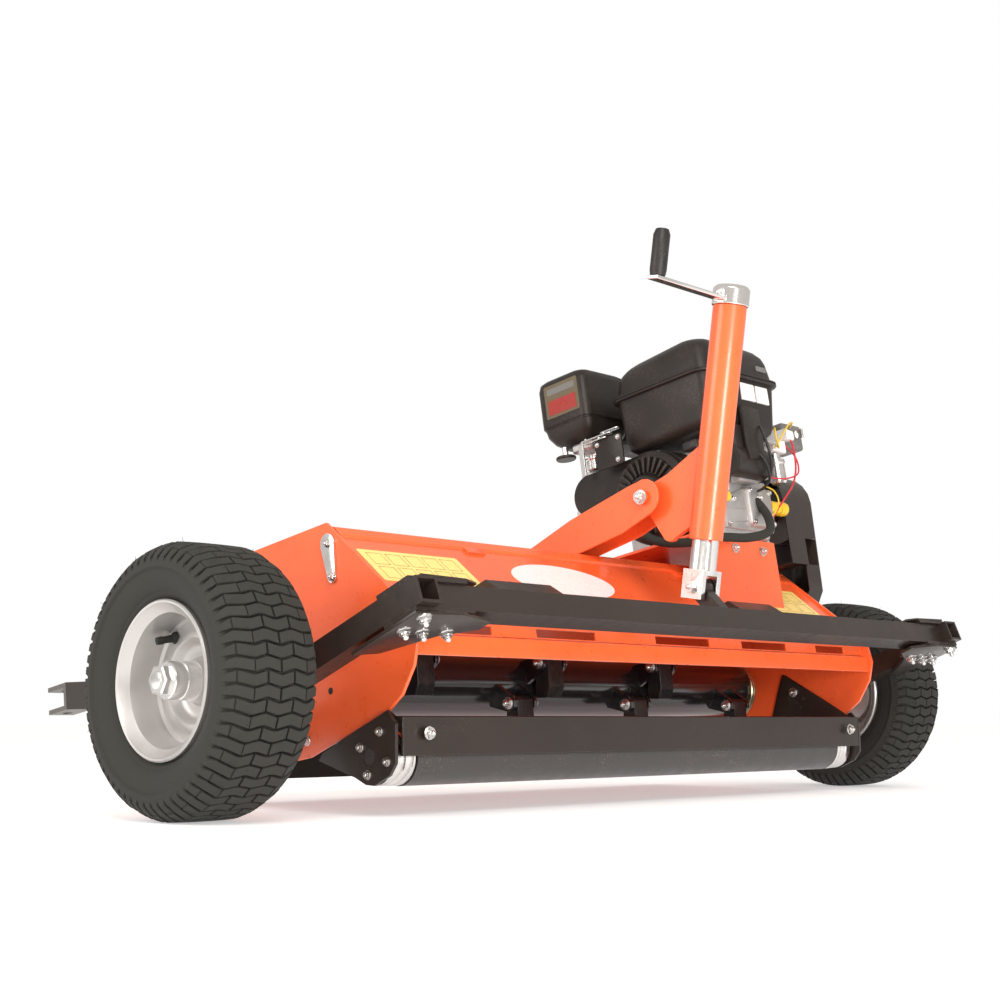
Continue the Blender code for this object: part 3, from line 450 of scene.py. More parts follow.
def prism(outline: Outline, axis: Axis, low: float, high: float, bevel: float = 0.0) -> bmesh.types.BMesh:
    """Push a closed outline along an axis.

    Args:
        outline: Points on the other two axes.
        axis: Axis to push along.
        low: Start of the push.
        high: End of the push.
        bevel: Width of the rounding of every edge.

    Returns:
        The closed shape.
    """
    shape = bmesh.new()
    rings = [[shape.verts.new(spread(axis, along, *point)) for point in outline] for along in (low, high)]
    shape.faces.new(rings[0])
    shape.faces.new(rings[1])
    for i in range(len(outline)):
        j = (i + 1) % len(outline)
        shape.faces.new((rings[0][i], rings[0][j], rings[1][j], rings[1][i]))
    if bevel:
        bmesh.ops.bevel(shape, geom=shape.edges[:], offset=bevel, segments=2, profile=0.5,
                        affect="EDGES", clamp_overlap=True)
    return shape


def turned(profile: Outline, axis: Axis, centre: Point, segments: int = 48) -> bmesh.types.BMesh:
    """Turn a closed (along, radius) profile about an axis.

    Args:
        profile: Points along the axis and away from it.
        axis: Axis to turn about.
        centre: Where the axis stands on the other two axes.
        segments: Steps in the full turn.

    Returns:
        The closed shape.
    """
    shape = bmesh.new()
    rings = []
    for along, radius in profile:
        if radius <= 0.0:
            rings.append([shape.verts.new(spread(axis, along, *centre))] * segments)
            continue
        ring = []
        for i in range(segments):
            angle = FULL_TURN * i / segments
            ring.append(shape.verts.new(spread(axis, along, centre[0] + radius * math.cos(angle),
                                               centre[1] + radius * math.sin(angle))))
        rings.append(ring)
    for ring, following in zip(rings, rings[1:] + rings[:1]):
        for i in range(segments):
            j = (i + 1) % segments
            corners = list(dict.fromkeys((ring[i], ring[j], following[j], following[i])))
            if len(corners) > 2:
                shape.faces.new(corners)
    return shape


def rounded(x0: float, x1: float, y0: float, y1: float, radius: float,
            steps: int = 5) -> list[tuple[float, float]]:
    """The outline of a rectangle with round corners."""
    points = []
    for cx, cy, start in ((x1, y1, 0.0), (x0, y1, 90.0), (x0, y0, 180.0), (x1, y0, 270.0)):
        ox = cx - math.copysign(radius, cx - (x0 + x1) / 2)
        oy = cy - math.copysign(radius, cy - (y0 + y1) / 2)
        for i in range(steps + 1):
            angle = math.radians(start + 90.0 * i / steps)
            points.append((ox + radius * math.cos(angle), oy + radius * math.sin(angle)))
    return points


def loft(sections: Iterable[tuple[float, float, float]], box: tuple[float, float, float, float],
         axis: Axis = Axis.Z) -> bmesh.types.BMesh:
    """Skin a moulded housing through rounded rectangles.

    Args:
        sections: Height, inset and corner radius of each ring, from one end to the other.
        box: Low and high edges on the two other axes before the inset.
        axis: Axis that the heights run along.

    Returns:
        The closed shape.
    """
    shape = bmesh.new()
    rings = []
    for height, inset, radius in sections:
        outline = rounded(box[0] + inset, box[1] - inset, box[2] + inset, box[3] - inset, radius)
        rings.append([shape.verts.new(spread(axis, height, *point)) for point in outline])
    for ring, following in zip(rings, rings[1:]):
        for i in range(len(ring)):
            j = (i + 1) % len(ring)
            shape.faces.new((ring[i], ring[j], following[j], following[i]))
    shape.faces.new(rings[0])
    shape.faces.new(rings[-1])
    return shape


def merged(*shapes: bmesh.types.BMesh) -> bmesh.types.BMesh:
    """Put several shapes in one, and free the others."""
    whole = shapes[0]
    for shape in shapes[1:]:
        spare = bpy.data.meshes.new("spare")
        shape.to_mesh(spare)
        shape.free()
        whole.from_mesh(spare)
        bpy.data.meshes.remove(spare)
    return whole


def placed(shape: bmesh.types.BMesh, matrix: Matrix) -> bmesh.types.BMesh:
    """Move a shape by a matrix and return it."""
    bmesh.ops.transform(shape, matrix=matrix, verts=shape.verts)
    return shape


class Bench:
    """Turns shapes and CAD nodes into finished pieces that ride on their bodies."""

    @staticmethod
    def piece(name: str, shape: bmesh.types.BMesh, finish: Finish, body: str, matrix: Matrix | None = None,
              angle: float = 35.0, stands_for: Sequence[str] = (), slot: str = "") -> bpy.types.Object:
        """Make a finished piece from a shape.

        Args:
            name: Name of the piece.
            shape: The shape, which is freed.
            finish: Its finish.
            body: CAD body that it rides on.
            matrix: Frame that the shape is drawn in, the machine's own if left out.
            angle: Edges sharper than this stay crisp, in degrees.
            stands_for: CAD nodes that it replaces.
            slot: Material slot of the record; not used.

        Returns:
            The piece.
        """
        placed(shape, STANCE.matrix if matrix is None else matrix)
        bmesh.ops.remove_doubles(shape, verts=shape.verts, dist=SAME_POINT)
        bmesh.ops.recalc_face_normals(shape, faces=shape.faces)
        mesh = bpy.data.meshes.new(name)
        shape.to_mesh(mesh)
        shape.free()
        mesh.shade_smooth()
        mesh.set_sharp_from_angle(angle=math.radians(angle))
        obj = bpy.data.objects.new(name, mesh)
        bpy.context.scene.collection.objects.link(obj)
        mesh.materials.append(finish.material())
        return Bench.ride(obj, body, stands_for, slot)

    @staticmethod
    def ride(obj: bpy.types.Object, body: str, stands_for: Sequence[str] = (),
             slot: str = "") -> bpy.types.Object:
        """Put a finished object on its body, and report it."""
        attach(obj, body)
        if stands_for:
            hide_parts(*stands_for)
        log.info("%s rides on %s, %d faces", obj.name, body, len(obj.data.polygons))
        return obj

    @staticmethod
    def refine(node: str, finish: Finish, bevel: float = 0.0010, angle: float = 38.0,
               slot: str = "") -> bpy.types.Object:
        """Stand a smooth copy with rounded edges in for a CAD node.

        Args:
            node: Name of the CAD node.
            finish: Its finish.
            bevel: Width of the rounded edges in metres.
            angle: Edges sharper than this are rounded, in degrees.
            slot: Material slot of the record; not used.

        Returns:
            The piece.
        """
        source = frame["nodes"][node]
        shape = bmesh.new()
        shape.from_mesh(source.data)
        bmesh.ops.remove_doubles(shape, verts=shape.verts, dist=SAME_CAD_POINT)
        bmesh.ops.dissolve_limit(shape, angle_limit=FLAT_WITHIN, verts=shape.verts, edges=shape.edges)
        mesh = bpy.data.meshes.new(f"{node}_finished")
        shape.to_mesh(mesh)
        shape.free()
        mesh.shade_smooth()
        mesh.set_sharp_from_angle(angle=math.radians(angle))
        obj = bpy.data.objects.new(f"{node}_finished", mesh)
        bpy.context.scene.collection.objects.link(obj)
        if bevel:
            rounding = obj.modifiers.new("rounding", "BEVEL")
            rounding.width = bevel
            rounding.segments = 2
            rounding.limit_method = "ANGLE"
            rounding.angle_limit = math.radians(angle)
            rounding.use_clamp_overlap = True
            rounding.harden_normals = True
            Bench.bake(obj)
        obj.data.materials.clear()
        obj.data.materials.append(finish.material())
        body = source["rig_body"]
        return Bench.ride(obj, body, (node,), slot)

    @staticmethod
    def bake(obj: bpy.types.Object) -> bpy.types.Object:
        """Turn an object's modifiers into a plain mesh."""
        graph = bpy.context.evaluated_depsgraph_get()
        mesh = bpy.data.meshes.new_from_object(obj.evaluated_get(graph))
        obj.modifiers.clear()
        obj.data = mesh
        return obj


# ---- geometry node trees ----------------------------------------------------------------------

class Tree:
    """A short way to build a geometry node tree with named inputs."""

    def __init__(self, name: str) -> None:
        """Start a tree with a geometry input and output.

        Args:
            name: Name of the tree.
        """
        self.group = bpy.data.node_groups.new(name, "GeometryNodeTree")
        self.sockets: dict[str, str] = {}
        self.group.interface.new_socket("Geometry", in_out="INPUT", socket_type="NodeSocketGeometry")
        self.group.interface.new_socket("Geometry", in_out="OUTPUT", socket_type="NodeSocketGeometry")
        self.source = self.group.nodes.new("NodeGroupInput")
        self.target = self.group.nodes.new("NodeGroupOutput")

    def size(self, name: str, kind: str, value: object) -> str:
        """Add a named input and return its name."""
        socket = self.group.interface.new_socket(name, in_out="INPUT", socket_type=f"NodeSocket{kind}")
        if value is not None:
            socket.default_value = value
        self.sockets[name] = socket.identifier
        return name

    def given(self, name: str) -> bpy.types.NodeSocket:
        """The socket of a named input."""
        return self.source.outputs[name]

    def add(self, kind: str, **inputs: object) -> bpy.types.Node:
        """Add a node.

        Args:
            kind: Full class name of the node.
            **inputs: Values or sockets by input name, with underscores for spaces.

        Returns:
            The node.
        """
        node = self.group.nodes.new(kind)
        for key, value in inputs.items():
            socket = node.inputs[key.replace("_", " ")]
            for item in value if isinstance(value, list) else [value]:
                if isinstance(item, bpy.types.NodeSocket):
                    self.group.links.new(item, socket)
                else:
                    socket.default_value = item
        return node

    def math(self, operation: str, first: object, second: object = 0.0) -> bpy.types.NodeSocket:
        """Combine two values with one operation and return the result's socket."""
        node = self.group.nodes.new("ShaderNodeMath")
        node.operation = operation
        for socket, value in zip(node.inputs, (first, second)):
            if isinstance(value, bpy.types.NodeSocket):
                self.group.links.new(value, socket)
            else:
                socket.default_value = value
        return node.outputs[0]

    def close(self, geometry: bpy.types.NodeSocket) -> None:
        """End the tree in Realize Instances and Set Material."""
        real = self.add("GeometryNodeRealizeInstances", Geometry=geometry)
        dressed = self.add("GeometryNodeSetMaterial", Geometry=real.outputs[0],
                           Material=self.given("Finish"))
        self.group.links.new(dressed.outputs[0], self.target.inputs[0])

    def apply(self, obj: bpy.types.Object, **values: object) -> bpy.types.Object:
        """Run the tree on an object and bake the result.

        Args:
            obj: Object whose mesh the tree starts from.
            **values: Named inputs, with underscores for spaces.

        Returns:
            The same object with a plain mesh.
        """
        modifier = obj.modifiers.new("tree", "NODES")
        modifier.node_group = self.group
        for key, value in values.items():
            modifier[self.sockets[key.replace("_", " ")]] = value
        return Bench.bake(obj)


def bolt_tree() -> Tree:
    """Hex heads with washers on every vertex, turned to the vertex's axis attribute.

    Returns:
        The tree.
    """
    tree = Tree("bolts")
    tree.size("Head", "Float", 0.010)
    tree.size("Stud", "Float", 0.3)
    tree.size("Finish", "Material", None)
    head = tree.given("Head")
    parts = []
    for kind, count, radius, depth, lift in (("washer", 24, 1.28, 0.16, 0.08), ("hex", 6, 1.10, 0.58, 0.45),
                                             ("collar", 20, 0.86, 0.22, 0.85)):
        body = tree.add("GeometryNodeMeshCylinder", Vertices=count,
                        Radius=tree.math("MULTIPLY", head, radius),
                        Depth=tree.math("MULTIPLY", head, depth))
        body.label = kind
        up = tree.add("ShaderNodeCombineXYZ", Z=tree.math("MULTIPLY", head, lift))
        parts.append(tree.add("GeometryNodeTransform", Geometry=body.outputs["Mesh"],
                              Translation=up.outputs[0]).outputs[0])
    dome = tree.add("GeometryNodeMeshUVSphere", Segments=16, Rings=8,
                    Radius=tree.math("MULTIPLY", head, 0.52))
    rise = tree.add("ShaderNodeCombineXYZ",
                    Z=tree.math("MULTIPLY", head, tree.math("ADD", tree.given("Stud"), 0.75)))
    parts.append(tree.add("GeometryNodeTransform", Geometry=dome.outputs["Mesh"],
                          Translation=rise.outputs[0]).outputs[0])
    whole = tree.add("GeometryNodeJoinGeometry", Geometry=parts)
    attribute = tree.group.nodes.new("GeometryNodeInputNamedAttribute")
    attribute.data_type = "FLOAT_VECTOR"
    attribute.inputs["Name"].default_value = "axis"
    turn = tree.add("FunctionNodeAlignRotationToVector", Vector=attribute.outputs["Attribute"])
    turn.axis = "Z"
    many = tree.add("GeometryNodeInstanceOnPoints", Points=tree.given("Geometry"),
                    Instance=whole.outputs[0], Rotation=turn.outputs[0])
    tree.close(many.outputs[0])
    return tree


def ring_tree() -> Tree:
    """Copies of a unit piece round the X axis through a centre, each turned by an even step.

    Returns:
        The tree.
    """
    tree = Tree("ring_of_copies")
    tree.size("Count", "Int", 12)
    tree.size("Sweep", "Float", FULL_TURN)
    tree.size("Start", "Float", 0.0)
    tree.size("Centre", "Vector", (0.0, 0.0, 0.0))
    tree.size("Finish", "Material", None)
    points = tree.add("GeometryNodePoints", Count=tree.given("Count"), Position=tree.given("Centre"))
    step = tree.math("DIVIDE", tree.given("Sweep"), tree.given("Count"))
    index = tree.group.nodes.new("GeometryNodeInputIndex")
    angle = tree.math("ADD", tree.math("MULTIPLY", index.outputs[0], step), tree.given("Start"))
    euler = tree.add("ShaderNodeCombineXYZ", X=angle)
    turn = tree.add("FunctionNodeEulerToRotation", Euler=euler.outputs[0])
    many = tree.add("GeometryNodeInstanceOnPoints", Points=points.outputs[0],
                    Instance=tree.given("Geometry"), Rotation=turn.outputs[0])
    tree.close(many.outputs[0])
    return tree


class Repeats:
    """The trees that make bolts and rings of copies."""

    def __init__(self) -> None:
        """Build both trees."""
        self.bolts_tree = bolt_tree()
        self.ring = ring_tree()

    def bolts(self, name: str, body: str, places: Sequence[tuple[Point, Point]], head: float = 0.008,
              stud: float = 0.25, finish: Finish = Finish.ZINC,
              matrix: Matrix | None = None) -> bpy.types.Object:
        """Fit a set of bolts on one body.

        Args:
            name: Name of the piece.
            body: CAD body.
            places: Foot and axis of each bolt.
            head: Half of the size across the head's flats, in metres.
            stud: How far the rounded end stands up, in heads.
            finish: Plating.
            matrix: Frame that the places are in.

        Returns:
            The piece.
        """
        base = STANCE.matrix if matrix is None else matrix
        mesh = bpy.data.meshes.new(name)
        mesh.from_pydata([base @ Vector(at) for at, _ in places], [], [])
        axes = mesh.attributes.new("axis", "FLOAT_VECTOR", "POINT")
        for i, (_, axis) in enumerate(places):
            axes.data[i].vector = base.to_3x3() @ Vector(axis)
        obj = bpy.data.objects.new(name, mesh)
        bpy.context.scene.collection.objects.link(obj)
        self.bolts_tree.apply(obj, Head=head, Stud=stud, Finish=finish.material())
        obj.data.set_sharp_from_angle(angle=math.radians(30.0))
        return Bench.ride(obj, body)

    def around(self, name: str, unit: bmesh.types.BMesh, body: str, count: int, centre: Point,
               finish: Finish, sweep: float = FULL_TURN, start: float = 0.0) -> bpy.types.Object:
        """Repeat a unit piece round an axis along X.

        Args:
            name: Name of the piece.
            unit: The unit piece, drawn about the origin.
            body: CAD body.
            count: Number of copies.
            centre: World point on the axis.
            finish: Finish of every copy.
            sweep: Angle that the copies fill.
            start: Angle of the first copy.

        Returns:
            The piece.
        """
        bmesh.ops.recalc_face_normals(unit, faces=unit.faces)
        mesh = bpy.data.meshes.new(name)
        unit.to_mesh(mesh)
        unit.free()
        obj = bpy.data.objects.new(name, mesh)
        bpy.context.scene.collection.objects.link(obj)
        self.ring.apply(obj, Count=count, Centre=tuple(centre), Sweep=sweep, Start=start,
                        Finish=finish.material())
        obj.data.set_sharp_from_angle(angle=math.radians(32.0))
        return Bench.ride(obj, body)


def joint_at(name: str) -> Vector:
    """The world place of a joint."""
    return Vector(next(j for j in frame["joints"] if j["name"] == name)["pos_m"])


# ---- wheels -----------------------------------------------------------------------------------

@dataclass
class Wheel:
    """A turf tyre with chevron blocks on a stepped, deep-dish rim."""

    side: int
    radius: float = 0.2025
    half_width: float = 0.081
    rows: int = 64
    groove: float = 0.0085
    block_width: float = 0.0420
    block_length: float = 0.0158
    block_dip: float = 0.0050
    segments: int = 128

    @property
    def label(self) -> str:
        """Left or right."""
        return "left" if self.side < 0 else "right"

    @property
    def centre(self) -> Vector:
        """World place of the wheel's middle."""
        return joint_at(f"wheel_spin_{self.label}")

    def crown(self, across: float) -> float:
        """Tread radius at a distance from the wheel's middle plane."""
        share = abs(across) / self.half_width
        return self.radius - 0.0022 * share ** 2 - 0.024 * max(0.0, share - 0.62) ** 1.6 / 0.38 ** 1.6

    def carcass(self) -> bmesh.types.BMesh:
        """The tyre's body, from bead to bead.

        Returns:
            The closed shape about the origin.
        """
        half = self.half_width
        tread = [(a, self.crown(a) - self.groove) for a in [half * 0.9 * i / 8 for i in range(9)]]
        wall = [(half - 0.0045, 0.1765), (half - 0.0022, 0.1720), (half - 0.0004, 0.1660),
                (half - 0.0002, 0.1635), (half - 0.0016, 0.1618), (half - 0.0040, 0.1600),
                (half - 0.0052, 0.1540), (half - 0.0070, 0.1460), (half - 0.0105, 0.1370),
                (half - 0.0150, 0.1300), (half - 0.0172, 0.1282), (half - 0.0178, 0.1262),
                (half - 0.0200, 0.1225), (half - 0.0225, 0.1190), (0.0560, 0.1165), (0.0540, 0.1020)]
        inside = [(0.0450, 0.1020), (0.0600, 0.1400), (0.0640, 0.1700), (0.0400, 0.1880)]
        profile = tread + wall + inside
        profile = [(-a, r) for a, r in reversed(profile)] + profile[1:]
        return turned(profile, Axis.X, (0.0, 0.0), self.segments)

    def block(self, shape: bmesh.types.BMesh, outline: Outline, row_angle: float,
              chamfer: float = 0.0011) -> None:
        """Raise one tread block.

        Args:
            shape: Shape that takes the block.
            outline: Points across the tread and round it, in metres.
            row_angle: Angle of the block's own middle.
            chamfer: Width of the sloping rim of its top.
        """
        middle = Vector((sum(p[0] for p in outline) / len(outline),
                         sum(p[1] for p in outline) / len(outline)))
        rings = []
        for shrink, sink in ((-0.0004, self.groove + 0.0015), (0.0, chamfer * 0.6), (chamfer, 0.0)):
            ring = []
            for point in outline:
                away = Vector(point) - middle
                moved = middle + away * (1.0 - shrink / max(away.length, 1e-6))
                radius = self.crown(moved.x) - sink
                angle = row_angle + moved.y / self.radius
                ring.append(shape.verts.new((moved.x, radius * math.cos(angle), radius * math.sin(angle))))
            rings.append(ring)
        for ring, following in zip(rings, rings[1:]):
            for i in range(len(ring)):
                j = (i + 1) % len(ring)
                shape.faces.new((ring[i], ring[j], following[j], following[i]))
        shape.faces.new(rings[-1])
        shape.faces.new(rings[0])

    def chevron(self, at: float, way: int) -> list[tuple[float, float]]:
        """The outline of a V block that points forwards or back."""
        half_w = self.block_width / 2
        half_l = self.block_length / 2
        tip = way * self.block_dip / 2
        return [(at - half_w, -half_l - tip), (at - 0.003, -half_l + tip), (at + 0.003, -half_l + tip),
                (at + half_w, -half_l - tip), (at + half_w, half_l - tip), (at + 0.003, half_l + tip),
                (at - 0.003, half_l + tip), (at - half_w, half_l - tip)]

    def tread_unit(self) -> bmesh.types.BMesh:
        """Two neighbouring rows of blocks with their shoulder lugs.

        Returns:
            The unit about the origin.
        """
        unit = bmesh.new()
        step = 2 * math.pi / self.rows
        pitch = self.block_width + 0.0034
        half_l = self.block_length / 2
        outer = self.half_width * 0.975
        for row, columns in enumerate(((-1.0, 0.0, 1.0), (-0.5, 0.5))):
            way = 1 - 2 * row
            for column in columns:
                self.block(unit, self.chevron(column * pitch, way), row * step)
            inner = (max(columns) + 0.5) * pitch
            tip = way * self.block_dip / 2
            for side in (-1, 1):
                lug = [(inner, -half_l - tip), (inner + pitch * 0.5, -half_l + tip if row else -half_l),
                       (outer, -half_l + 0.0020), (outer, half_l - 0.0020),
                       (inner + pitch * 0.5, half_l + tip if row else half_l), (inner, half_l - tip)]
                if not row:
                    lug = [lug[0], lug[2], lug[3], lug[5]]
                self.block(unit, [(side * a, b) for a, b in lug], row * step)
        return unit

    def rim(self) -> bmesh.types.BMesh:
        """The pressed rim with its welded hub sleeve.

        Returns:
            The closed shape about the origin, dish outwards.
        """
        face = [(0.0640, 0.1172), (0.0662, 0.1150), (0.0655, 0.1120), (0.0620, 0.1098), (0.0520, 0.0985),
                (0.0440, 0.0968), (0.0200, 0.0955), (0.0080, 0.0940), (0.0040, 0.0900), (0.0042, 0.0790),
                (0.0062, 0.0740), (0.0085, 0.0700), (0.0088, 0.0640), (0.0050, 0.0600), (-0.0030, 0.0560),
                (-0.0070, 0.0500), (-0.0075, 0.0400), (-0.0060, 0.0362), (0.0020, 0.0330), (0.0100, 0.0300),
                (0.0110, 0.0235)]
        back = [(-0.0500, 0.0200), (-0.0500, 0.0330), (-0.0120, 0.0330), (-0.0105, 0.0560),
                (-0.0060, 0.0640), (0.0045, 0.0690), (0.0010, 0.0860), (-0.0040, 0.0925), (-0.0480, 0.0955),
                (-0.0600, 0.1100), (-0.0655, 0.1125), (-0.0660, 0.1150), (-0.0640, 0.1172),
                (-0.0560, 0.1160), (-0.0530, 0.1012), (0.0530, 0.1012), (0.0560, 0.1160)]
        profile = [(self.side * a, r) for a, r in face + back]
        return turned(profile, Axis.X, (0.0, 0.0), 96)

    def hub(self) -> bmesh.types.BMesh:
        """The end of the stub axle: a collar, a split line and a large domed hex nut.

        Returns:
            The shape about the origin.
        """
        side = self.side
        collar = turned([(side * a, r)
                         for a, r in ((0.006, 0.0), (0.006, 0.0300), (0.0100, 0.0290), (0.0330, 0.0285),
                                      (0.0342, 0.0268), (0.0355, 0.0268), (0.0365, 0.0282),
                                      (0.0540, 0.0280), (0.0560, 0.0262), (0.0560, 0.0))], Axis.X,
                        (0.0, 0.0), 48)
        nut = turned([(side * a, r)
                      for a, r in ((0.0550, 0.0), (0.0550, 0.0232), (0.0672, 0.0232), (0.0700, 0.0205),
                                   (0.0704, 0.0))], Axis.X, (0.0, 0.0), 6)
        tip = turned([(side * a, r) for a, r in ((0.0690, 0.0), (0.0690, 0.0135), (0.0712, 0.0128),
                                                 (0.0724, 0.0080), (0.0726, 0.0))], Axis.X, (0.0, 0.0), 28)
        return merged(collar, nut, tip)

    def valve(self) -> bmesh.types.BMesh:
        """The rubber valve stem with its cap, near the dish's top.

        Returns:
            The shape about the origin.
        """
        shape = turned(((0.0020, 0.0), (0.0020, 0.0095), (0.0075, 0.0085), (0.0100, 0.0058),
                        (0.0240, 0.0052), (0.0245, 0.0062), (0.0340, 0.0058), (0.0350, 0.0)), Axis.X,
                       (0.0, 0.0), 20)
        for vertex in shape.verts:
            vertex.co.x *= self.side
        tilt = Matrix.Rotation(self.side * math.radians(18.0), 4, "Z")
        at = Matrix.Translation((self.side * 0.001, 0.0, 0.083))
        return placed(shape, Matrix.Rotation(math.radians(-38.0), 4, "X") @ at @ tilt)

    def flash(self) -> bmesh.types.BMesh:
        """Thin rubber hairs left by the mould's vents, along both shoulders and the crown.

        Returns:
            The shape about the origin.
        """
        shape = bmesh.new()
        count = 54
        for i in range(count):
            angle = 2 * math.pi * (i + 0.37 * (i % 3)) / count
            if math.sin(angle) < -0.80:
                continue
            across = self.half_width * (-0.86, 0.55, -0.30, 0.88, -0.62)[i % 5]
            reach = 0.006 + 0.004 * ((i * 7) % 4) / 3
            base = self.crown(across) - 0.002
            lean = 0.35 * math.sin(i * 2.1)
            ring = []
            for level, width in ((0.0, 0.00045), (1.0, 0.00020)):
                middle = Vector((across + lean * level * reach * 0.5, base + level * reach,
                                 lean * level * reach))
                for k in range(3):
                    turn = 2 * math.pi * k / 3
                    point = middle + Vector((width * math.cos(turn), 0.0, width * math.sin(turn)))
                    ring.append(shape.verts.new(Matrix.Rotation(angle, 3, "X") @ point))
            low, high = ring[:3], ring[3:]
            for k in range(3):
                m = (k + 1) % 3
                shape.faces.new((low[k], low[m], high[m], high[k]))
            shape.faces.new(low)
            shape.faces.new(high)
        return shape

    def build(self, repeats: Repeats) -> None:
        """Build and dress the wheel.

        Args:
            repeats: The shared trees.
        """
        body = f"wheel_{self.label}"
        here = Matrix.Translation(self.centre)
        Bench.piece(f"tyre_carcass_{self.label}", self.carcass(), Finish.TYRE, body, here, 28.0,
                           (f"tyre_{self.label}",), "tyre_rubber")
        repeats.around(f"tread_blocks_{self.label}", self.tread_unit(), body, self.rows // 2, self.centre,
                       Finish.TYRE)
        Bench.piece(f"mould_hairs_{self.label}", self.flash(), Finish.TYRE, body, here)
        Bench.piece(f"rim_face_{self.label}", self.rim(), Finish.WHEEL, body, here, 34.0,
                    (f"rim_{self.label}",), "wheel_paint")
        Bench.piece(f"hub_nut_{self.label}", self.hub(), Finish.ZINC, body, here, 30.0)
        Bench.piece(f"valve_stem_{self.label}", self.valve(), Finish.RUBBER, body, here, 40.0)


# ---- deck -------------------------------------------------------------------------------------

@dataclass
class Deck:
    """The orange shell, its plain plates, scraper and roller mounts."""

    half_width: float = 0.6333
    slope_foot: tuple[float, float] = (-0.207, 0.074)
    slope_ridge: tuple[float, float] = (-0.043, 0.246)
    film: float = 0.0006
    plate_reach: tuple[float, float] = (0.082, 0.172)
    oval_centre: tuple[float, float] = (-0.168, 0.128)
    oval_half: tuple[float, float] = (0.127, 0.052)

    def slope(self) -> Matrix:
        """A frame on the rear slope: X along it, Y up the slope and Z out of it."""
        foot = Vector((0.0, *self.slope_foot))
        up = (Vector((0.0, *self.slope_ridge)) - foot).normalized()
        out = Vector((1.0, 0.0, 0.0)).cross(up).normalized()
        turn = Matrix(((1.0, up.x, out.x, 0.0), (0.0, up.y, out.y, 0.0), (0.0, up.z, out.z, 0.0),
                       (0.0, 0.0, 0.0, 1.0)))
        return STANCE.matrix @ Matrix.Translation(foot) @ turn

    def plates(self) -> None:
        """Stick the plain warning plates and the oval plate on the slope."""
        slope = self.slope()
        for name, x0, x1 in (("left", -0.618, -0.400), ("right", 0.392, 0.585)):
            sheet = prism(rounded(x0, x1, *self.plate_reach, 0.004), Axis.Z, 0.0, self.film)
            Bench.piece(f"warning_plate_{name}", sheet, Finish.YELLOW_PLATE, "deck", slope)
            marks = []
            count = 5 if name == "left" else 4
            width = (x1 - x0 - 0.020) / count
            for i in range(count):
                left = x0 + 0.010 + i * width
                for low, high in ((0.130, 0.163), (0.090, 0.123)):
                    marks.append(self.frame_line(left + 0.004, left + width - 0.004, low, high))
            Bench.piece(f"warning_frames_{name}", merged(*marks), Finish.LINE, "deck", slope)
        (x, y), (half_x, half_y) = self.oval_centre, self.oval_half
        oval = [(x + half_x * math.cos(a), y + half_y * math.sin(a))
                for a in [FULL_TURN * i / 64 for i in range(64)]]
        Bench.piece("oval_plate", prism(oval, Axis.Z, 0.0, self.film), Finish.WHITE_PLATE, "deck", slope)

    def frame_line(self, x0: float, x1: float, y0: float, y1: float) -> bmesh.types.BMesh:
        """A thin printed rectangle, as an open frame of four bars."""
        line = 0.0009
        top = self.film + 0.0002
        bars = [((x0, x1), (y0, y0 + line)), ((x0, x1), (y1 - line, y1)), ((x0, x0 + line), (y0, y1)),
                ((x1 - line, x1), (y0, y1))]
        return merged(*[prism([(a[0], b[0]), (a[1], b[0]), (a[1], b[1]), (a[0], b[1])], Axis.Z,
                              self.film * 0.5, top) for a, b in bars])

    def ridge(self) -> None:
        """Weld the stiffening strip and its tabs along the top of the slope."""
        slope = self.slope()
        length = (Vector(self.slope_ridge) - Vector(self.slope_foot)).length
        strip = [(length - 0.034, 0.0002), (length - 0.030, 0.0042), (length - 0.010, 0.0050),
                 (length - 0.003, 0.0015)]
        strip += [(length - 0.003, 0.0002)]
        Bench.piece("ridge_strip",
                    prism(strip, Axis.X, -self.half_width + 0.008, self.half_width - 0.008, 0.0005),
                    Finish.ORANGE, "deck", slope)
        tabs = [prism(rounded(x - 0.022, x + 0.022, length - 0.046, length - 0.030, 0.003), Axis.Z, 0.0,
                      0.0045, 0.0006) for x in (-0.335, 0.235)]
        Bench.piece("ridge_tabs", merged(*tabs), Finish.ORANGE, "deck", slope)

    def link_plate(self, repeats: Repeats) -> None:
        """Bolt the teardrop link plate on the left side plate."""
        top = (-0.0437, 0.2163)
        low = (-0.0477, 0.1612)
        outline = teardrop(top, 0.0165, low, 0.0095)
        face = -self.half_width
        Bench.piece("link_plate", prism(outline, Axis.X, face - 0.0045, face - 0.0003, 0.0006), Finish.ZINC,
                    "deck")
        repeats.bolts("link_plate_bolts", "deck",
                      [((face - 0.0045, *top), (-1, 0, 0)), ((face - 0.0045, *low), (-1, 0, 0))], 0.0056,
                      0.1, Finish.STEEL)

    def build(self, repeats: Repeats) -> None:
        """Build and dress the deck.

        Args:
            repeats: The shared trees.
        """
        for node in ("deck_shell", "side_plate_left", "side_plate_right", "rear_lip"):
            Bench.refine(node, Finish.ORANGE, 0.0010, slot="orange_paint")
        for node in ("scraper_bar", "slope_step_left", "slope_step_right", "roller_bracket_left",
                     "roller_bracket_right"):
            Bench.refine(node, Finish.BLACK, 0.0010, slot="black_paint")
        Bench.refine("front_curtain", Finish.RUBBER, 0.0008, slot="sheet_rubber")
        Bench.refine("roller", Finish.ROLLER, 0.0022, slot="black_paint")
        self.plates()
        self.ridge()
        self.link_plate(repeats)
        self.bearings()
        self.fixings(repeats)

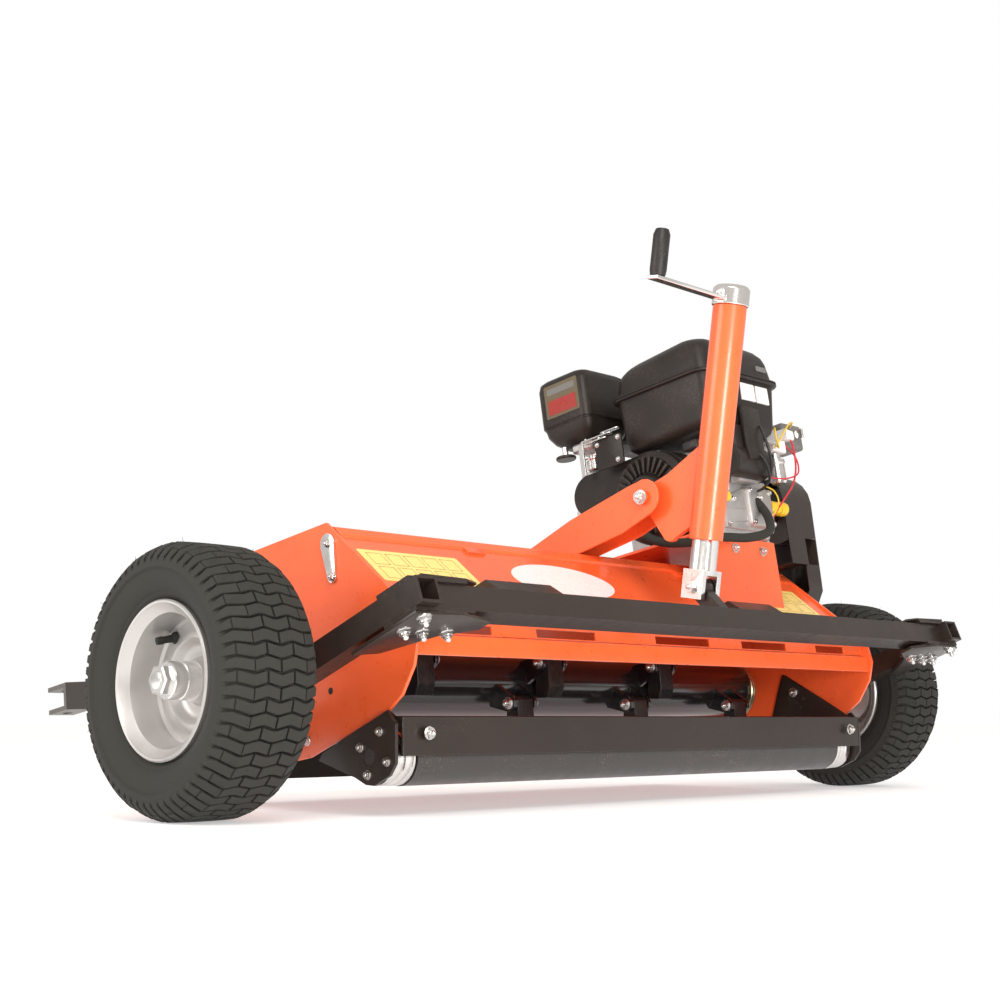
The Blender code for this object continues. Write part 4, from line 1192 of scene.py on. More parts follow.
    def bearings(self) -> None:
        """Fit the bright bearing rings at the roller's ends and the drilled plates inside the deck."""
        for name, side in SIDES.items():
            near = side * 0.5800
            profile = [(0.0, 0.0340), (0.0, 0.0420), (0.003, 0.0440), (0.007, 0.0440), (0.009, 0.0400),
                       (0.016, 0.0400), (0.018, 0.0440), (0.023, 0.0440), (0.025, 0.0400), (0.031, 0.0400),
                       (0.033, 0.0430), (0.046, 0.0430), (0.046, 0.0340)]
            ring = turned([(near + side * a, r) for a, r in profile], Axis.X, (-0.097, -0.130), 48)
            Bench.piece(f"roller_bearing_ring_{name}", ring, Finish.ZINC, "deck")
        for name, side in SIDES.items():
            inner = side * (self.half_width - 0.0063)
            low, high = sorted((inner, inner - side * 0.004))
            outline = [(-0.001, 0.031), (-0.007, 0.038), (-0.014, 0.034), (-0.100, -0.034),
                       (-0.156, -0.080), (-0.150, -0.090), (-0.010, -0.096), (0.052, -0.096),
                       (0.056, -0.086)]
            Bench.piece(f"inner_gusset_{name}", prism(outline, Axis.X, low, high, 0.0006), Finish.BLACK,
                        "deck")

    def fixings(self, repeats: Repeats) -> None:
        """Fit the bolts of the deck and the side plates' rubber plugs, with thin dark discs as painted
        shade in the gussets' holes.

        Args:
            repeats: The shared trees.
        """
        scraper = [((side * 0.581, -0.1735, -0.106), (0.0, -1.0, -0.14)) for side in (-1, 1)]
        repeats.bolts("scraper_bolts", "deck", scraper, 0.0080, 0.35)
        places = []
        for y, z in ((-0.128, -0.096), (-0.081, -0.113), (-0.138, -0.143), (-0.092, -0.156)):
            for side in (-1, 1):
                places.append(((side * 0.6396, y, z), (side, 0, 0)))
        repeats.bolts("bracket_bolts", "deck", places, 0.0060, 0.0, Finish.STEEL)
        inside = [((side * 0.6230, -0.0270, -0.004), (-side, 0, 0)) for side in (-1, 1)]
        repeats.bolts("gusset_bolts", "deck", inside, 0.0080, 0.2, Finish.STEEL)
        # The gussets' holes are not cut: thin dark rubber-finish discs on their inner faces are painted
        # shade where the holes would show dark.
        hole_shade_discs = [turned([(side * 0.6226, 0.0), (side * 0.6226, 0.0045), (side * 0.6234, 0.0045),
                         (side * 0.6234, 0.0)], Axis.X, at, 14) for side in (-1, 1)
                 for at in ((-0.0135, 0.009), (-0.0410, -0.002), (-0.0290, -0.0255), (-0.0390, -0.0375),
                            (-0.0150, -0.018), (-0.0500, -0.0215))]
        Bench.piece("gusset_hole_shade_discs", merged(*hole_shade_discs), Finish.RUBBER, "deck")
        side_row = [((side * 0.6335, y, z), (side, 0, 0)) for side in (-1, 1)
                    for y, z in ((0.0515, -0.0824), (0.352, 0.060), (0.352, -0.040), (0.215, 0.225))]
        repeats.bolts("side_plate_bolts", "deck", side_row, 0.0065, 0.1)
        plugs = [turned([(side * 0.6334, 0.0), (side * 0.6334, 0.0055), (side * 0.6340, 0.0052),
                         (side * 0.6340, 0.0)], Axis.X, (-0.016, -0.0146), 18) for side in (-1, 1)]
        Bench.piece("side_plate_plugs", merged(*plugs), Finish.RUBBER, "deck")


def teardrop(first: Point, first_radius: float, second: Point, second_radius: float,
             steps: int = 12) -> list[tuple[float, float]]:
    """The outline of a band wrapped round two circles.

    Args:
        first: Middle of the first circle.
        first_radius: Its radius.
        second: Middle of the second circle.
        second_radius: Its radius.
        steps: Steps round each circle.

    Returns:
        The closed outline.
    """
    gap = math.dist(first, second)
    heading = math.atan2(second[1] - first[1], second[0] - first[0])
    lean = math.acos((first_radius - second_radius) / gap)
    points = []
    for middle, radius, start, end in ((first, first_radius, heading + lean, heading + 2 * math.pi - lean),
                                       (second, second_radius, heading - lean, heading + lean)):
        for i in range(steps + 1):
            angle = start + (end - start) * i / steps
            points.append((middle[0] + radius * math.cos(angle), middle[1] + radius * math.sin(angle)))
    return points


# ---- rotor ------------------------------------------------------------------------------------

@dataclass
class Rotor:
    """The glossy rotor tube with its ears, flails, nuts and bright end rings."""

    axis: tuple[float, float] = (0.093, 0.021)
    ear_reach: float = 0.095
    rows: tuple[tuple[float, float], ...] = ((210.0, -0.180), (165.0, -0.420))
    pitch: float = 0.320
    ear_outside: float = 0.030
    ring_x: float = 0.5560

    def pins(self) -> list[tuple[float, float, float]]:
        """Every flail pin's middle in the machine's frame."""
        found = []
        for angle, start in self.rows:
            for half_turn in (0.0, 180.0):
                way = math.radians(angle + half_turn)
                y = self.axis[0] + self.ear_reach * math.cos(way)
                z = self.axis[1] + self.ear_reach * math.sin(way)
                found += [(start + step * self.pitch, y, z) for step in range(3)]
        return found

    def build(self, repeats: Repeats) -> None:
        """Build and dress the rotor.

        Args:
            repeats: The shared trees.
        """
        Bench.refine("rotor_tube", Finish.ROTOR, 0.0008, slot="black_paint")
        Bench.refine("rotor_pulley", Finish.IRON, 0.0006, slot="forged_steel")
        for i in range(1, 13):
            Bench.refine(f"flail_{i:02d}", Finish.FORGED, 0.0028, slot="forged_steel")
        places = []
        for x, y, z in self.pins():
            for side in (-1, 1):
                places.append(((x + side * self.ear_outside, y, z), (side, 0, 0)))
        repeats.bolts("flail_nuts", "rotor", places, 0.0088, 0.30)
        for name, side in SIDES.items():
            at = side * self.ring_x
            ring = turned([(at + side * a, r)
                           for a, r in ((0.0, 0.0570), (0.0, 0.0625), (0.002, 0.0640), (0.006, 0.0640),
                                        (0.0075, 0.0605), (0.0095, 0.0640), (0.0125, 0.0640),
                                        (0.0140, 0.0615), (0.0140, 0.0570))], Axis.X, self.axis, 64)
            Bench.piece(f"rotor_end_ring_{name}", ring, Finish.BRASSY, "rotor")


# ---- wheel frame ------------------------------------------------------------------------------

@dataclass
class WheelFrame:
    """The beam and arms that carry the wheels, with clamp plates and fixings."""

    slope: float = math.radians(12.0)
    arm_x: float = 0.730
    drop: float = 0.011
    tube: float = 0.040
    plate: float = 0.006

    def frame(self) -> Matrix:
        """The arms' frame: X as the machine's, Y backwards along the arm and Z up from its middle."""
        back = Vector((0.0, -math.cos(self.slope), math.sin(self.slope)))
        up = Vector((0.0, math.sin(self.slope), math.cos(self.slope)))
        along = back.cross(up)
        turn = Matrix(((along.x, back.x, up.x, 0.0), (along.y, back.y, up.y, 0.0),
                       (along.z, back.z, up.z, 0.0), (0.0, 0.0, 0.0, 1.0)))
        return STANCE.matrix @ turn @ Matrix.Translation((0.0, 0.0, -self.drop))

    def build(self, repeats: Repeats) -> None:
        """Build and dress the wheel frame.

        Args:
            repeats: The shared trees.
        """
        for node in ("wheel_beam", "arm_left", "arm_right"):
            Bench.refine(node, Finish.BLACK, 0.0022, slot="black_paint")
        here = self.frame()
        half = self.tube / 2
        top = half + self.plate
        heads = []
        nuts = []
        for name, side in SIDES.items():
            turned_side = -side
            middle = turned_side * self.arm_x
            inner = turned_side * (self.arm_x - half)
            gusset = [(middle + turned_side * half, 0.205), (middle + turned_side * half, 0.352),
                      (inner - turned_side * 0.050, 0.356), (inner - turned_side * 0.118, 0.338),
                      (inner - turned_side * 0.118, 0.312), (inner - turned_side * 0.060, 0.285),
                      (inner - turned_side * 0.004, 0.215)]
            Bench.piece(f"clamp_gusset_{name}", prism(gusset, Axis.Z, -top - 0.0062, -top - 0.0002, 0.0008),
                        Finish.BLACK, "wheel_frame", here)
            saddle = [(middle - turned_side * 0.004, 0.284), (middle - turned_side * 0.004, 0.356),
                      (inner - turned_side * 0.078, 0.352), (inner - turned_side * 0.106, 0.343),
                      (inner - turned_side * 0.106, 0.312), (inner - turned_side * 0.072, 0.296),
                      (inner - turned_side * 0.020, 0.284)]
            Bench.piece(f"clamp_saddle_{name}", prism(saddle, Axis.Z, top + 0.0002, top + 0.0042, 0.0012),
                        Finish.BLACK, "wheel_frame", here)
            for x, y in ((inner - turned_side * 0.016, 0.298), (inner - turned_side * 0.062, 0.300),
                         (middle, 0.345), (middle, 0.300)):
                nuts.append(((x, y, -top - 0.0062), (0, 0, -1)))
            heads.append(((inner - turned_side * 0.040, 0.300, top + 0.0042), (0, 0, 1)))
        repeats.bolts("clamp_nuts", "wheel_frame", nuts, 0.0090, 0.55, matrix=here)
        repeats.bolts("clamp_heads", "wheel_frame", heads, 0.0080, 0.0, Finish.STEEL, here)
        for name, side in SIDES.items():
            near = side * (self.arm_x + half + 0.001)
            sleeve = turned([(near, 0.0155), (near, 0.0215), (near + side * 0.058, 0.0215),
                             (near + side * 0.058, 0.0155)], Axis.X, (0.0, 0.0), 36)
            Bench.piece(f"axle_sleeve_{name}", sleeve, Finish.STEEL, "wheel_frame")


# ---- jack -------------------------------------------------------------------------------------

@dataclass
class Jack:
    """The screw jack on its mast."""

    tube_top: float = 0.500

    def build(self, repeats: Repeats) -> None:
        """Build and dress the jack.

        Args:
            repeats: The shared trees.
        """
        Bench.refine("mast_arm", Finish.ORANGE, 0.0018, slot="orange_paint")
        Bench.refine("jack_tube", Finish.ORANGE, 0.0012, slot="orange_paint")
        Bench.refine("jack_ram", Finish.ZINC, 0.0020, slot="bare_steel")
        Bench.refine("crank_arm", Finish.CHROME, 0.0018, slot="bare_steel")
        Bench.refine("crank_grip", Finish.GRIP, 0.0015, slot="black_plastic")
        jack = STANCE.jack()
        top = self.tube_top
        nipple = turned(((0.0295, 0.0), (0.0295, 0.0048), (0.0330, 0.0048), (0.0335, 0.0030),
                         (0.0365, 0.0030), (0.0385, 0.0036), (0.0400, 0.0020), (0.0400, 0.0)), Axis.X,
                        (0.0, top - 0.055), 16)
        Bench.piece("grease_nipple", nipple, Finish.ZINC, "jack_tube", jack)
        repeats.bolts("mast_pivot_bolt", "jack_tube",
                      [((side * 0.0380, 0.1266, 0.1507), (side, 0, 0)) for side in (-1, 1)], 0.0105, 0.25,
                      matrix=jack)
        repeats.bolts("clevis_bolt", "jack_ram",
                      [((side * 0.0268, 0.0, 0.0), (side, 0, 0)) for side in (-1, 1)], 0.0088, 0.3,
                      matrix=jack)
        repeats.bolts("crank_cap_pin", "crank", [((-0.0325, 0.0, top + 0.018), (-1, 0, 0))], 0.0050, 0.0,
                      Finish.STEEL, jack)


# ---- engine -----------------------------------------------------------------------------------

@dataclass(frozen=True)
class TankForm:
    """How the fuel tank's plain loft is bent: its top falls away and its belly tucks in."""

    fall_from: float = -0.070
    fall_run: float = 0.113
    fall_share: float = 0.30
    end_from: float = 0.410
    end_run: float = 0.079
    end_share: float = 0.16
    belly_top: float = 0.5950
    belly_height: float = 0.103
    tuck: float = 0.022

    def bend(self, vertex: bmesh.types.BMVert, seam: float) -> None:
        """Move one corner of the loft to its place on the bent tank.

        Args:
            vertex: The corner.
            seam: Height of the flange between the halves.
        """
        rise = max(0.0, vertex.co.z - seam)
        fall = max(0.0, vertex.co.y - self.fall_from) / self.fall_run
        end = max(0.0, vertex.co.x - self.end_from) / self.end_run
        vertex.co.z -= rise * (self.fall_share * fall + self.end_share * end)
        lift = max(0.0, self.belly_top - vertex.co.z) / self.belly_height
        vertex.co.x -= self.tuck * lift ** 2 * end


@dataclass
class Engine:
    """The petrol engine: mouldings, castings, starter, controls and small fittings."""

    crank: tuple[float, float] = (-0.035, 0.385)
    face_x: float = 0.236
    slats: int = 30
    seam: float = 0.6124
    air_box_face: float = 0.198
    base_top: float = 0.2853
    case_rear: float = -0.1520
    cover_bolt_ring: float = 0.0895
    side_bolt_ring: float = 0.089

    def tank(self) -> None:
        """Mould the fuel tank in two halves with its seam flange."""
        box = (0.221, 0.489, -0.213, 0.043)
        sections = [(0.4918, 0.034, 0.016), (0.4935, 0.026, 0.022), (0.5000, 0.0175, 0.026),
                    (0.5120, 0.0135, 0.028), (0.5980, 0.0095, 0.028), (0.6025, 0.0090, 0.028),
                    (0.6030, 0.001, 0.034), (0.6042, 0.0, 0.034), (0.6068, 0.0, 0.034),
                    (0.6072, 0.0022, 0.032), (0.6082, 0.0022, 0.032), (0.6086, 0.0, 0.034),
                    (0.6110, 0.0, 0.034), (0.6120, 0.001, 0.034), (0.6124, 0.009, 0.028),
                    (0.6180, 0.0095, 0.028), (0.6560, 0.0125, 0.032), (0.6690, 0.0160, 0.034),
                    (0.6780, 0.0225, 0.036), (0.6845, 0.0330, 0.036), (0.6885, 0.0480, 0.034),
                    (0.6898, 0.0700, 0.030)]
        shell = loft(sections, box)
        form = TankForm()
        for vertex in shell.verts:
            form.bend(vertex, self.seam)
        Bench.piece("fuel_tank_moulding", shell, Finish.PLASTIC, "deck", None, 50.0, ("fuel_tank",),
                    "black_plastic")
        for name, x0, x1, z0, z1 in (("a", 0.347, 0.393, 0.558, 0.594), ("b", 0.398, 0.440, 0.558, 0.594),
                                     ("c", 0.415, 0.450, 0.630, 0.641)):
            depth = -0.2046 if z0 < 0.60 else -0.2032
            Bench.piece(f"tank_label_{name}",
                        prism(rounded(x0, x1, z0, z1, 0.002), Axis.Y, depth, depth + 0.004),
                        Finish.WHITE_PLATE if z0 < 0.60 else Finish.GREY, "deck")
        Bench.refine("fuel_cap", Finish.PLASTIC, 0.0012, slot="black_plastic")

    def air_box(self) -> None:
        """Mould the air cleaner with its lid line and its plain plate."""
        box = (0.198, 0.350, 0.080, 0.215)
        sections = [(0.5462, 0.034, 0.010), (0.5500, 0.030, 0.014), (0.5600, 0.016, 0.018),
                    (0.5760, 0.006, 0.020), (0.5920, 0.0035, 0.020), (0.5925, 0.0020, 0.020),
                    (0.5955, 0.0020, 0.020), (0.5960, 0.0, 0.020), (0.6800, 0.0, 0.020),
                    (0.6930, 0.003, 0.020), (0.6990, 0.010, 0.022), (0.7018, 0.022, 0.022),
                    (0.7020, 0.040, 0.020)]
        Bench.piece("air_box_moulding", loft(sections, box), Finish.PLASTIC, "deck", None, 50.0,
                    ("air_cleaner",), "black_plastic")
        face = self.air_box_face
        plate = prism(rounded(0.096, 0.190, 0.612, 0.684, 0.004), Axis.X, face - 0.0008, face + 0.0004)
        Bench.piece("air_box_plate", plate, Finish.LINE, "deck")
        inset = prism(rounded(0.104, 0.182, 0.618, 0.650, 0.002), Axis.X, face - 0.0012, face)
        Bench.piece("air_box_plate_panel", inset, Finish.RED_PLATE, "deck")
        band = prism(rounded(0.104, 0.182, 0.662, 0.676, 0.002), Axis.X, face - 0.0012, face)
        Bench.piece("air_box_plate_band", band, Finish.GREY, "deck")

    def recoil(self, repeats: Repeats) -> None:
        """Mould the starter cover with its ring of air slots and the fan housing.

        Args:
            repeats: The shared trees.
        """
        face = self.face_x
        profile = [(face, 0.0), (face, 0.0955), (face - 0.004, 0.0955), (face - 0.006, 0.0945),
                   (face - 0.014, 0.0935), (face - 0.018, 0.0900), (face - 0.022, 0.0820),
                   (face - 0.023, 0.0800), (face - 0.022, 0.0780), (face - 0.024, 0.0470),
                   (face - 0.030, 0.0440), (face - 0.038, 0.0400), (face - 0.040, 0.0360),
                   (face - 0.040, 0.0180), (face - 0.036, 0.0160), (face - 0.036, 0.0)]
        Bench.piece("starter_cover", turned(profile, Axis.X, self.crank, 72), Finish.PLASTIC, "deck", None,
                    30.0, ("recoil_cover",), "black_plastic")
        slat = prism(((0.048, -0.0022), (0.080, -0.0036), (0.080, 0.0036), (0.048, 0.0022)), Axis.X,
                     -0.0310, -0.0200, 0.0008)
        centre = STANCE.matrix @ Vector((face, *self.crank))
        repeats.around("starter_slats", slat, "deck", self.slats, centre, Finish.PLASTIC)
        boss = turned(((face - 0.0355, 0.0), (face - 0.0355, 0.0150), (face - 0.0392, 0.0140),
                       (face - 0.0396, 0.0)), Axis.X, self.crank, 32)
        Bench.piece("starter_boss", boss, Finish.STEEL, "deck")
        Bench.refine("fan_housing", Finish.PLASTIC, 0.0040, slot="black_plastic")
        Bench.refine("recoil_handle", Finish.GRIP, 0.0015, slot="black_plastic")
        spots = self.round_crank(face - 0.006, self.cover_bolt_ring, range(36, 396, 72), -1)
        repeats.bolts("starter_cover_bolts", "deck", spots, 0.0042, 0.0)

    def round_crank(self, x: float, radius: float, degrees: Iterable[int],
                    way: int) -> list[tuple[Point, Point]]:
        """Places for bolts round the crankshaft.

        Args:
            x: Where they stand along the shaft.
            radius: Distance from the shaft's middle.
            degrees: Angle of each one.
            way: Side that their heads face, 1 or -1.

        Returns:
            Foot and axis of each bolt.
        """
        y, z = self.crank
        turns = [math.radians(angle) for angle in degrees]
        return [((x, y + radius * math.cos(turn), z + radius * math.sin(turn)), (way, 0, 0))
                for turn in turns]

    def castings(self, repeats: Repeats) -> None:
        """Dress the crankcase, head, starter and muffler, with ribs, bosses and foot bolts.

        Args:
            repeats: The shared trees.
        """
        Bench.refine("crankcase", Finish.ALLOY, 0.0020, slot="cast_alloy")
        Bench.refine("cylinder_head", Finish.ALLOY, 0.0008, slot="cast_alloy")
        Bench.refine("engine_base", Finish.ORANGE, 0.0012, slot="orange_paint")
        Bench.refine("muffler", Finish.HEAT, 0.0020, slot="black_paint")
        Bench.refine("starter_motor", Finish.PLASTIC, 0.0020, slot="black_plastic")
        Bench.refine("oil_cap", Finish.YELLOW, 0.0020, slot="yellow_plastic")
        centre = STANCE.matrix @ Vector((0.4925, *self.crank))
        rib = prism(((0.046, -0.0022), (0.093, -0.0022), (0.093, 0.0022), (0.046, 0.0022)), Axis.X, -0.0200,
                    0.0060, 0.0008)
        repeats.around("side_cover_ribs", rib, "deck", 12, centre, Finish.ALLOY)
        rim = self.round_crank(0.4860, self.side_bolt_ring, range(15, 375, 45), 1)
        repeats.bolts("side_cover_bolts", "deck", rim, 0.0050, 0.0)
        block = loft([(-0.1460, 0.0, 0.008), (-0.1600, 0.003, 0.008), (-0.1625, 0.006, 0.008)],
                     (0.372, 0.458, 0.305, 0.392), Axis.Y)
        Bench.piece("sump_plate", block, Finish.ALLOY, "deck", None, 40.0)
        repeats.bolts("sump_plate_bolts", "deck",
                      [((x, -0.1620, z), (0, -1, 0)) for x in (0.382, 0.448) for z in (0.315, 0.382)],
                      0.0050, 0.0)
        neck = turned(((-0.1200, 0.0), (-0.1200, 0.0150), (-0.1580, 0.0150), (-0.1600, 0.0), ), Axis.Y,
                      (0.425, 0.352), 28)
        Bench.piece("drain_boss", neck, Finish.ALLOY, "deck")
        feet = [((x, y, self.base_top), (0, 0, 1)) for x in (0.236, 0.268, 0.468) for y in (-0.122, 0.120)]
        repeats.bolts("engine_foot_bolts", "deck", feet, 0.0080, 0.3)
        front = [((x, -0.1385, 0.262), (0, -1, 0)) for x in (0.333, 0.426)]
        repeats.bolts("base_front_bolts", "deck", front, 0.0078, 0.3)

    def electrics(self, repeats: Repeats) -> None:
        """Fit the coil's bracket, regulator, solenoid, connectors and starter stay.

        Args:
            repeats: The shared trees.
        """
        panel = [(0.322, 0.5400), (0.380, 0.5360), (0.377, 0.4330), (0.325, 0.4260)]
        Bench.piece("coil_bracket", prism(panel, Axis.Y, -0.2160, -0.2060, 0.0016), Finish.PLASTIC, "deck")
        back = [(0.300, 0.5000), (0.372, 0.5040), (0.352, 0.4340), (0.304, 0.4280)]
        Bench.piece("regulator_box", prism(back, Axis.Y, -0.2040, -0.1700, 0.0030), Finish.PLASTIC, "deck")
        solenoid = turned(((0.412, 0.0), (0.412, 0.0130), (0.416, 0.0170), (0.452, 0.0170), (0.455, 0.0190),
                           (0.462, 0.0190), (0.465, 0.0120), (0.476, 0.0115), (0.479, 0.0)), Axis.Z,
                          (0.512, -0.150), 32)
        Bench.piece("starter_solenoid", solenoid, Finish.ZINC, "deck", None, 30.0)
        stub = loft([(0.490, 0.002, 0.004), (0.534, 0.0, 0.004)], (-0.166, -0.140, 0.478, 0.506), Axis.X)
        Bench.piece("connector_body", stub, Finish.WHITE_PLATE, "deck", None, 40.0)
        second = loft([(0.452, 0.002, 0.004), (0.486, 0.0, 0.004)], (-0.178, -0.156, 0.488, 0.524), Axis.X)
        Bench.piece("connector_tail", second, Finish.ALLOY, "deck", None, 40.0)
        stay = [(0.340, 0.4260), (0.372, 0.4320), (0.398, 0.4200), (0.440, 0.4420), (0.446, 0.4100),
                (0.400, 0.3960), (0.342, 0.3960)]
        Bench.piece("starter_stay", prism(stay, Axis.Y, -0.1720, -0.1480, 0.0020), Finish.ALLOY, "deck")
        repeats.bolts("starter_stay_bolts", "deck",
                      [((x, -0.1722, z), (0, -1, 0)) for x, z in ((0.354, 0.412), (0.428, 0.424))], 0.0058,
                      0.2)

    def case_face(self, repeats: Repeats) -> None:
        """Fit the machined face on the crankcase's rear, with its level plug, dipstick and tag.

        Args:
            repeats: The shared trees.
        """
        face = [(0.300, 0.3000), (0.300, 0.3420), (0.330, 0.3720), (0.380, 0.3900), (0.450, 0.3960),
                (0.461, 0.3700), (0.461, 0.3000)]
        Bench.piece("crankcase_face", prism(face, Axis.Y, self.case_rear, -0.1450, 0.0024), Finish.ALLOY,
                    "deck")
        lines = [prism([(0.308, z), (0.455, z + 0.012), (0.455, z + 0.0155), (0.308, z + 0.0035)], Axis.Y,
                       -0.1545, -0.1515, 0.0008) for z in (0.312, 0.340)]
        Bench.piece("crankcase_ribs", merged(*lines), Finish.ALLOY, "deck")
        level = turned(((-0.1500, 0.0), (-0.1500, 0.0150), (-0.1560, 0.0150), (-0.1575, 0.0135),
                        (-0.1575, 0.0)), Axis.Y, (0.412, 0.368), 28)
        Bench.piece("level_plug_boss", level, Finish.ALLOY, "deck", None, 30.0)
        repeats.bolts("level_plug", "deck", [((0.412, -0.1575, 0.368), (0, -1, 0))], 0.0090, 0.2)
        repeats.bolts("crankcase_face_bolts", "deck",
                      [((x, -0.1522, z), (0, -1, 0))
                       for x, z in ((0.310, 0.308), (0.452, 0.308), (0.452, 0.386), (0.336, 0.362))],
                      0.0052, 0.1)
        dip = turned(((-0.1480, 0.0), (-0.1480, 0.0110), (-0.1700, 0.0110), (-0.1715, 0.0095),
                      (-0.1715, 0.0)), Axis.Y, (0.292, 0.359), 20)
        Bench.piece("dipstick_cap", dip, Finish.YELLOW, "deck", None, 30.0)
        tag = prism(((0.290, 0.3740), (0.316, 0.3760), (0.320, 0.4040), (0.296, 0.4040)), Axis.Y, -0.1600,
                    -0.1500, 0.0010)
        Bench.piece("plain_tag", tag, Finish.WHITE_PLATE, "deck")

    def carburettor(self, repeats: Repeats) -> None:
        """Fit the carburettor with its throttle lever, links, bowl, choke and control panel.

        Args:
            repeats: The shared trees.
        """
        Bench.refine("carburettor", Finish.ALLOY, 0.0015, slot="cast_alloy")
        Bench.refine("throttle_lever", Finish.ZINC, 0.0006, slot="bare_steel")
        bowl = turned(((0.486, 0.0), (0.486, 0.0135), (0.489, 0.0175), (0.508, 0.0180), (0.510, 0.0200),
                       (0.5135, 0.0200), (0.5140, 0.0120), (0.5260, 0.0120), (0.5260, 0.0)), Axis.Z,
                      (0.252, 0.122), 32)
        Bench.piece("float_bowl", bowl, Finish.ZINC, "deck", None, 30.0)
        disc = turned(((0.5195, 0.0), (0.5195, 0.0200), (0.5215, 0.0215), (0.5250, 0.0215),
                       (0.5265, 0.0200), (0.5265, 0.0)), Axis.Z, (0.216, 0.168), 32)
        Bench.piece("choke_knob", disc, Finish.PLASTIC, "deck", None, 30.0)
        stem = turned(((0.5250, 0.0), (0.5250, 0.0060), (0.5470, 0.0060), (0.5470, 0.0)), Axis.Z,
                      (0.216, 0.168), 20)
        Bench.piece("choke_stem", stem, Finish.ZINC, "deck")
        links = []
        for z, x0, x1, y0, y1 in ((0.5380, 0.200, 0.212, 0.030, 0.112),
                                  (0.5300, 0.196, 0.206, 0.040, 0.098),
                                  (0.5440, 0.204, 0.216, 0.012, 0.060)):
            links.append(prism(rounded(x0, x1, y0, y1, 0.0045), Axis.Z, z, z + 0.0022, 0.0004))
        Bench.piece("governor_links", merged(*links), Finish.ZINC, "deck")
        panel = prism(rounded(0.006, 0.078, 0.468, 0.532, 0.006), Axis.X, 0.2045, 0.2085, 0.0006)
        Bench.piece("control_panel", panel, Finish.PLASTIC, "deck")
        repeats.bolts("panel_screws", "deck",
                      [((0.2045, y, z), (-1, 0, 0))
                       for y, z in ((0.014, 0.524), (0.070, 0.522), (0.020, 0.478))], 0.0042, 0.1)
        repeats.bolts("link_screws", "deck",
                      [((0.206, 0.050, 0.5402), (0, 0, 1)), ((0.206, 0.100, 0.5402), (0, 0, 1)),
                       ((0.201, 0.060, 0.5322), (0, 0, 1))], 0.0036, 0.2)

    def build(self, repeats: Repeats) -> None:
        """Build and dress the engine.

        Args:
            repeats: The shared trees.
        """
        self.tank()
        self.air_box()
        self.recoil(repeats)
        self.castings(repeats)
        self.electrics(repeats)
        self.case_face(repeats)
        self.carburettor(repeats)
        Bench.refine("control_box", Finish.GREY, 0.0015, slot="black_plastic")
        Bench.refine("key_switch", Finish.ZINC, 0.0008, slot="bare_steel")
        Bench.refine("engine_pulley", Finish.IRON, 0.0006, slot="forged_steel")
        Bench.refine("drive_belt", Finish.RUBBER, 0.0006, slot="sheet_rubber")
        Bench.refine("belt_cover", Finish.BLACK, 0.0025, slot="black_paint")
        repeats.bolts("belt_cover_bolts", "deck",
                      [((0.6905, y, z), (1, 0, 0))
                       for y, z in ((-0.035, 0.455), (0.128, 0.205), (-0.084, 0.205), (0.093, -0.030))],
                      0.0058, 0.0)


# ---- wiring -----------------------------------------------------------------------------------

@dataclass
class Wire:
    """One cord between two places on the machine."""

    name: str
    route: Sequence[Point]
    diameter: float
    finish: Finish
    stiffness: str = "limp"
    steps: int = 6
    nodes: Sequence[str] = ()

    def points(self) -> list[Vector]:
        """A smooth line through the route, in the world's frame.

        Returns:
            The points.
        """
        padded = [self.route[0], *self.route, self.route[-1]]
        found = []
        for i in range(len(self.route) - 1):
            a, b, c, d = (Vector(p) for p in padded[i:i + 4])
            for step in range(self.steps):
                t = step / self.steps
                found.append(0.5 * (2 * b + (c - a) * t + (2 * a - 5 * b + 4 * c - d) * t * t
                                    + (3 * b - a - 3 * c + d) * t ** 3))
        found.append(Vector(self.route[-1]))
        return [STANCE.matrix @ point for point in found]

    def build(self) -> None:
        curve = bpy.data.curves.new(self.name, "CURVE")
        curve.dimensions = "3D"
        curve.bevel_depth = self.diameter / 2
        curve.bevel_resolution = 4
        curve.use_fill_caps = True
        spline = curve.splines.new("POLY")
        points = self.points()
        spline.points.add(len(points) - 1)
        for target, point in zip(spline.points, points):
            target.co = (*point, 1.0)
        spline.use_smooth = True
        obj = bpy.data.objects.new(self.name, curve)
        bpy.context.scene.collection.objects.link(obj)
        curve.materials.append(self.finish.material())
        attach(obj, "deck")
        if self.nodes:
            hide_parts(*self.nodes)


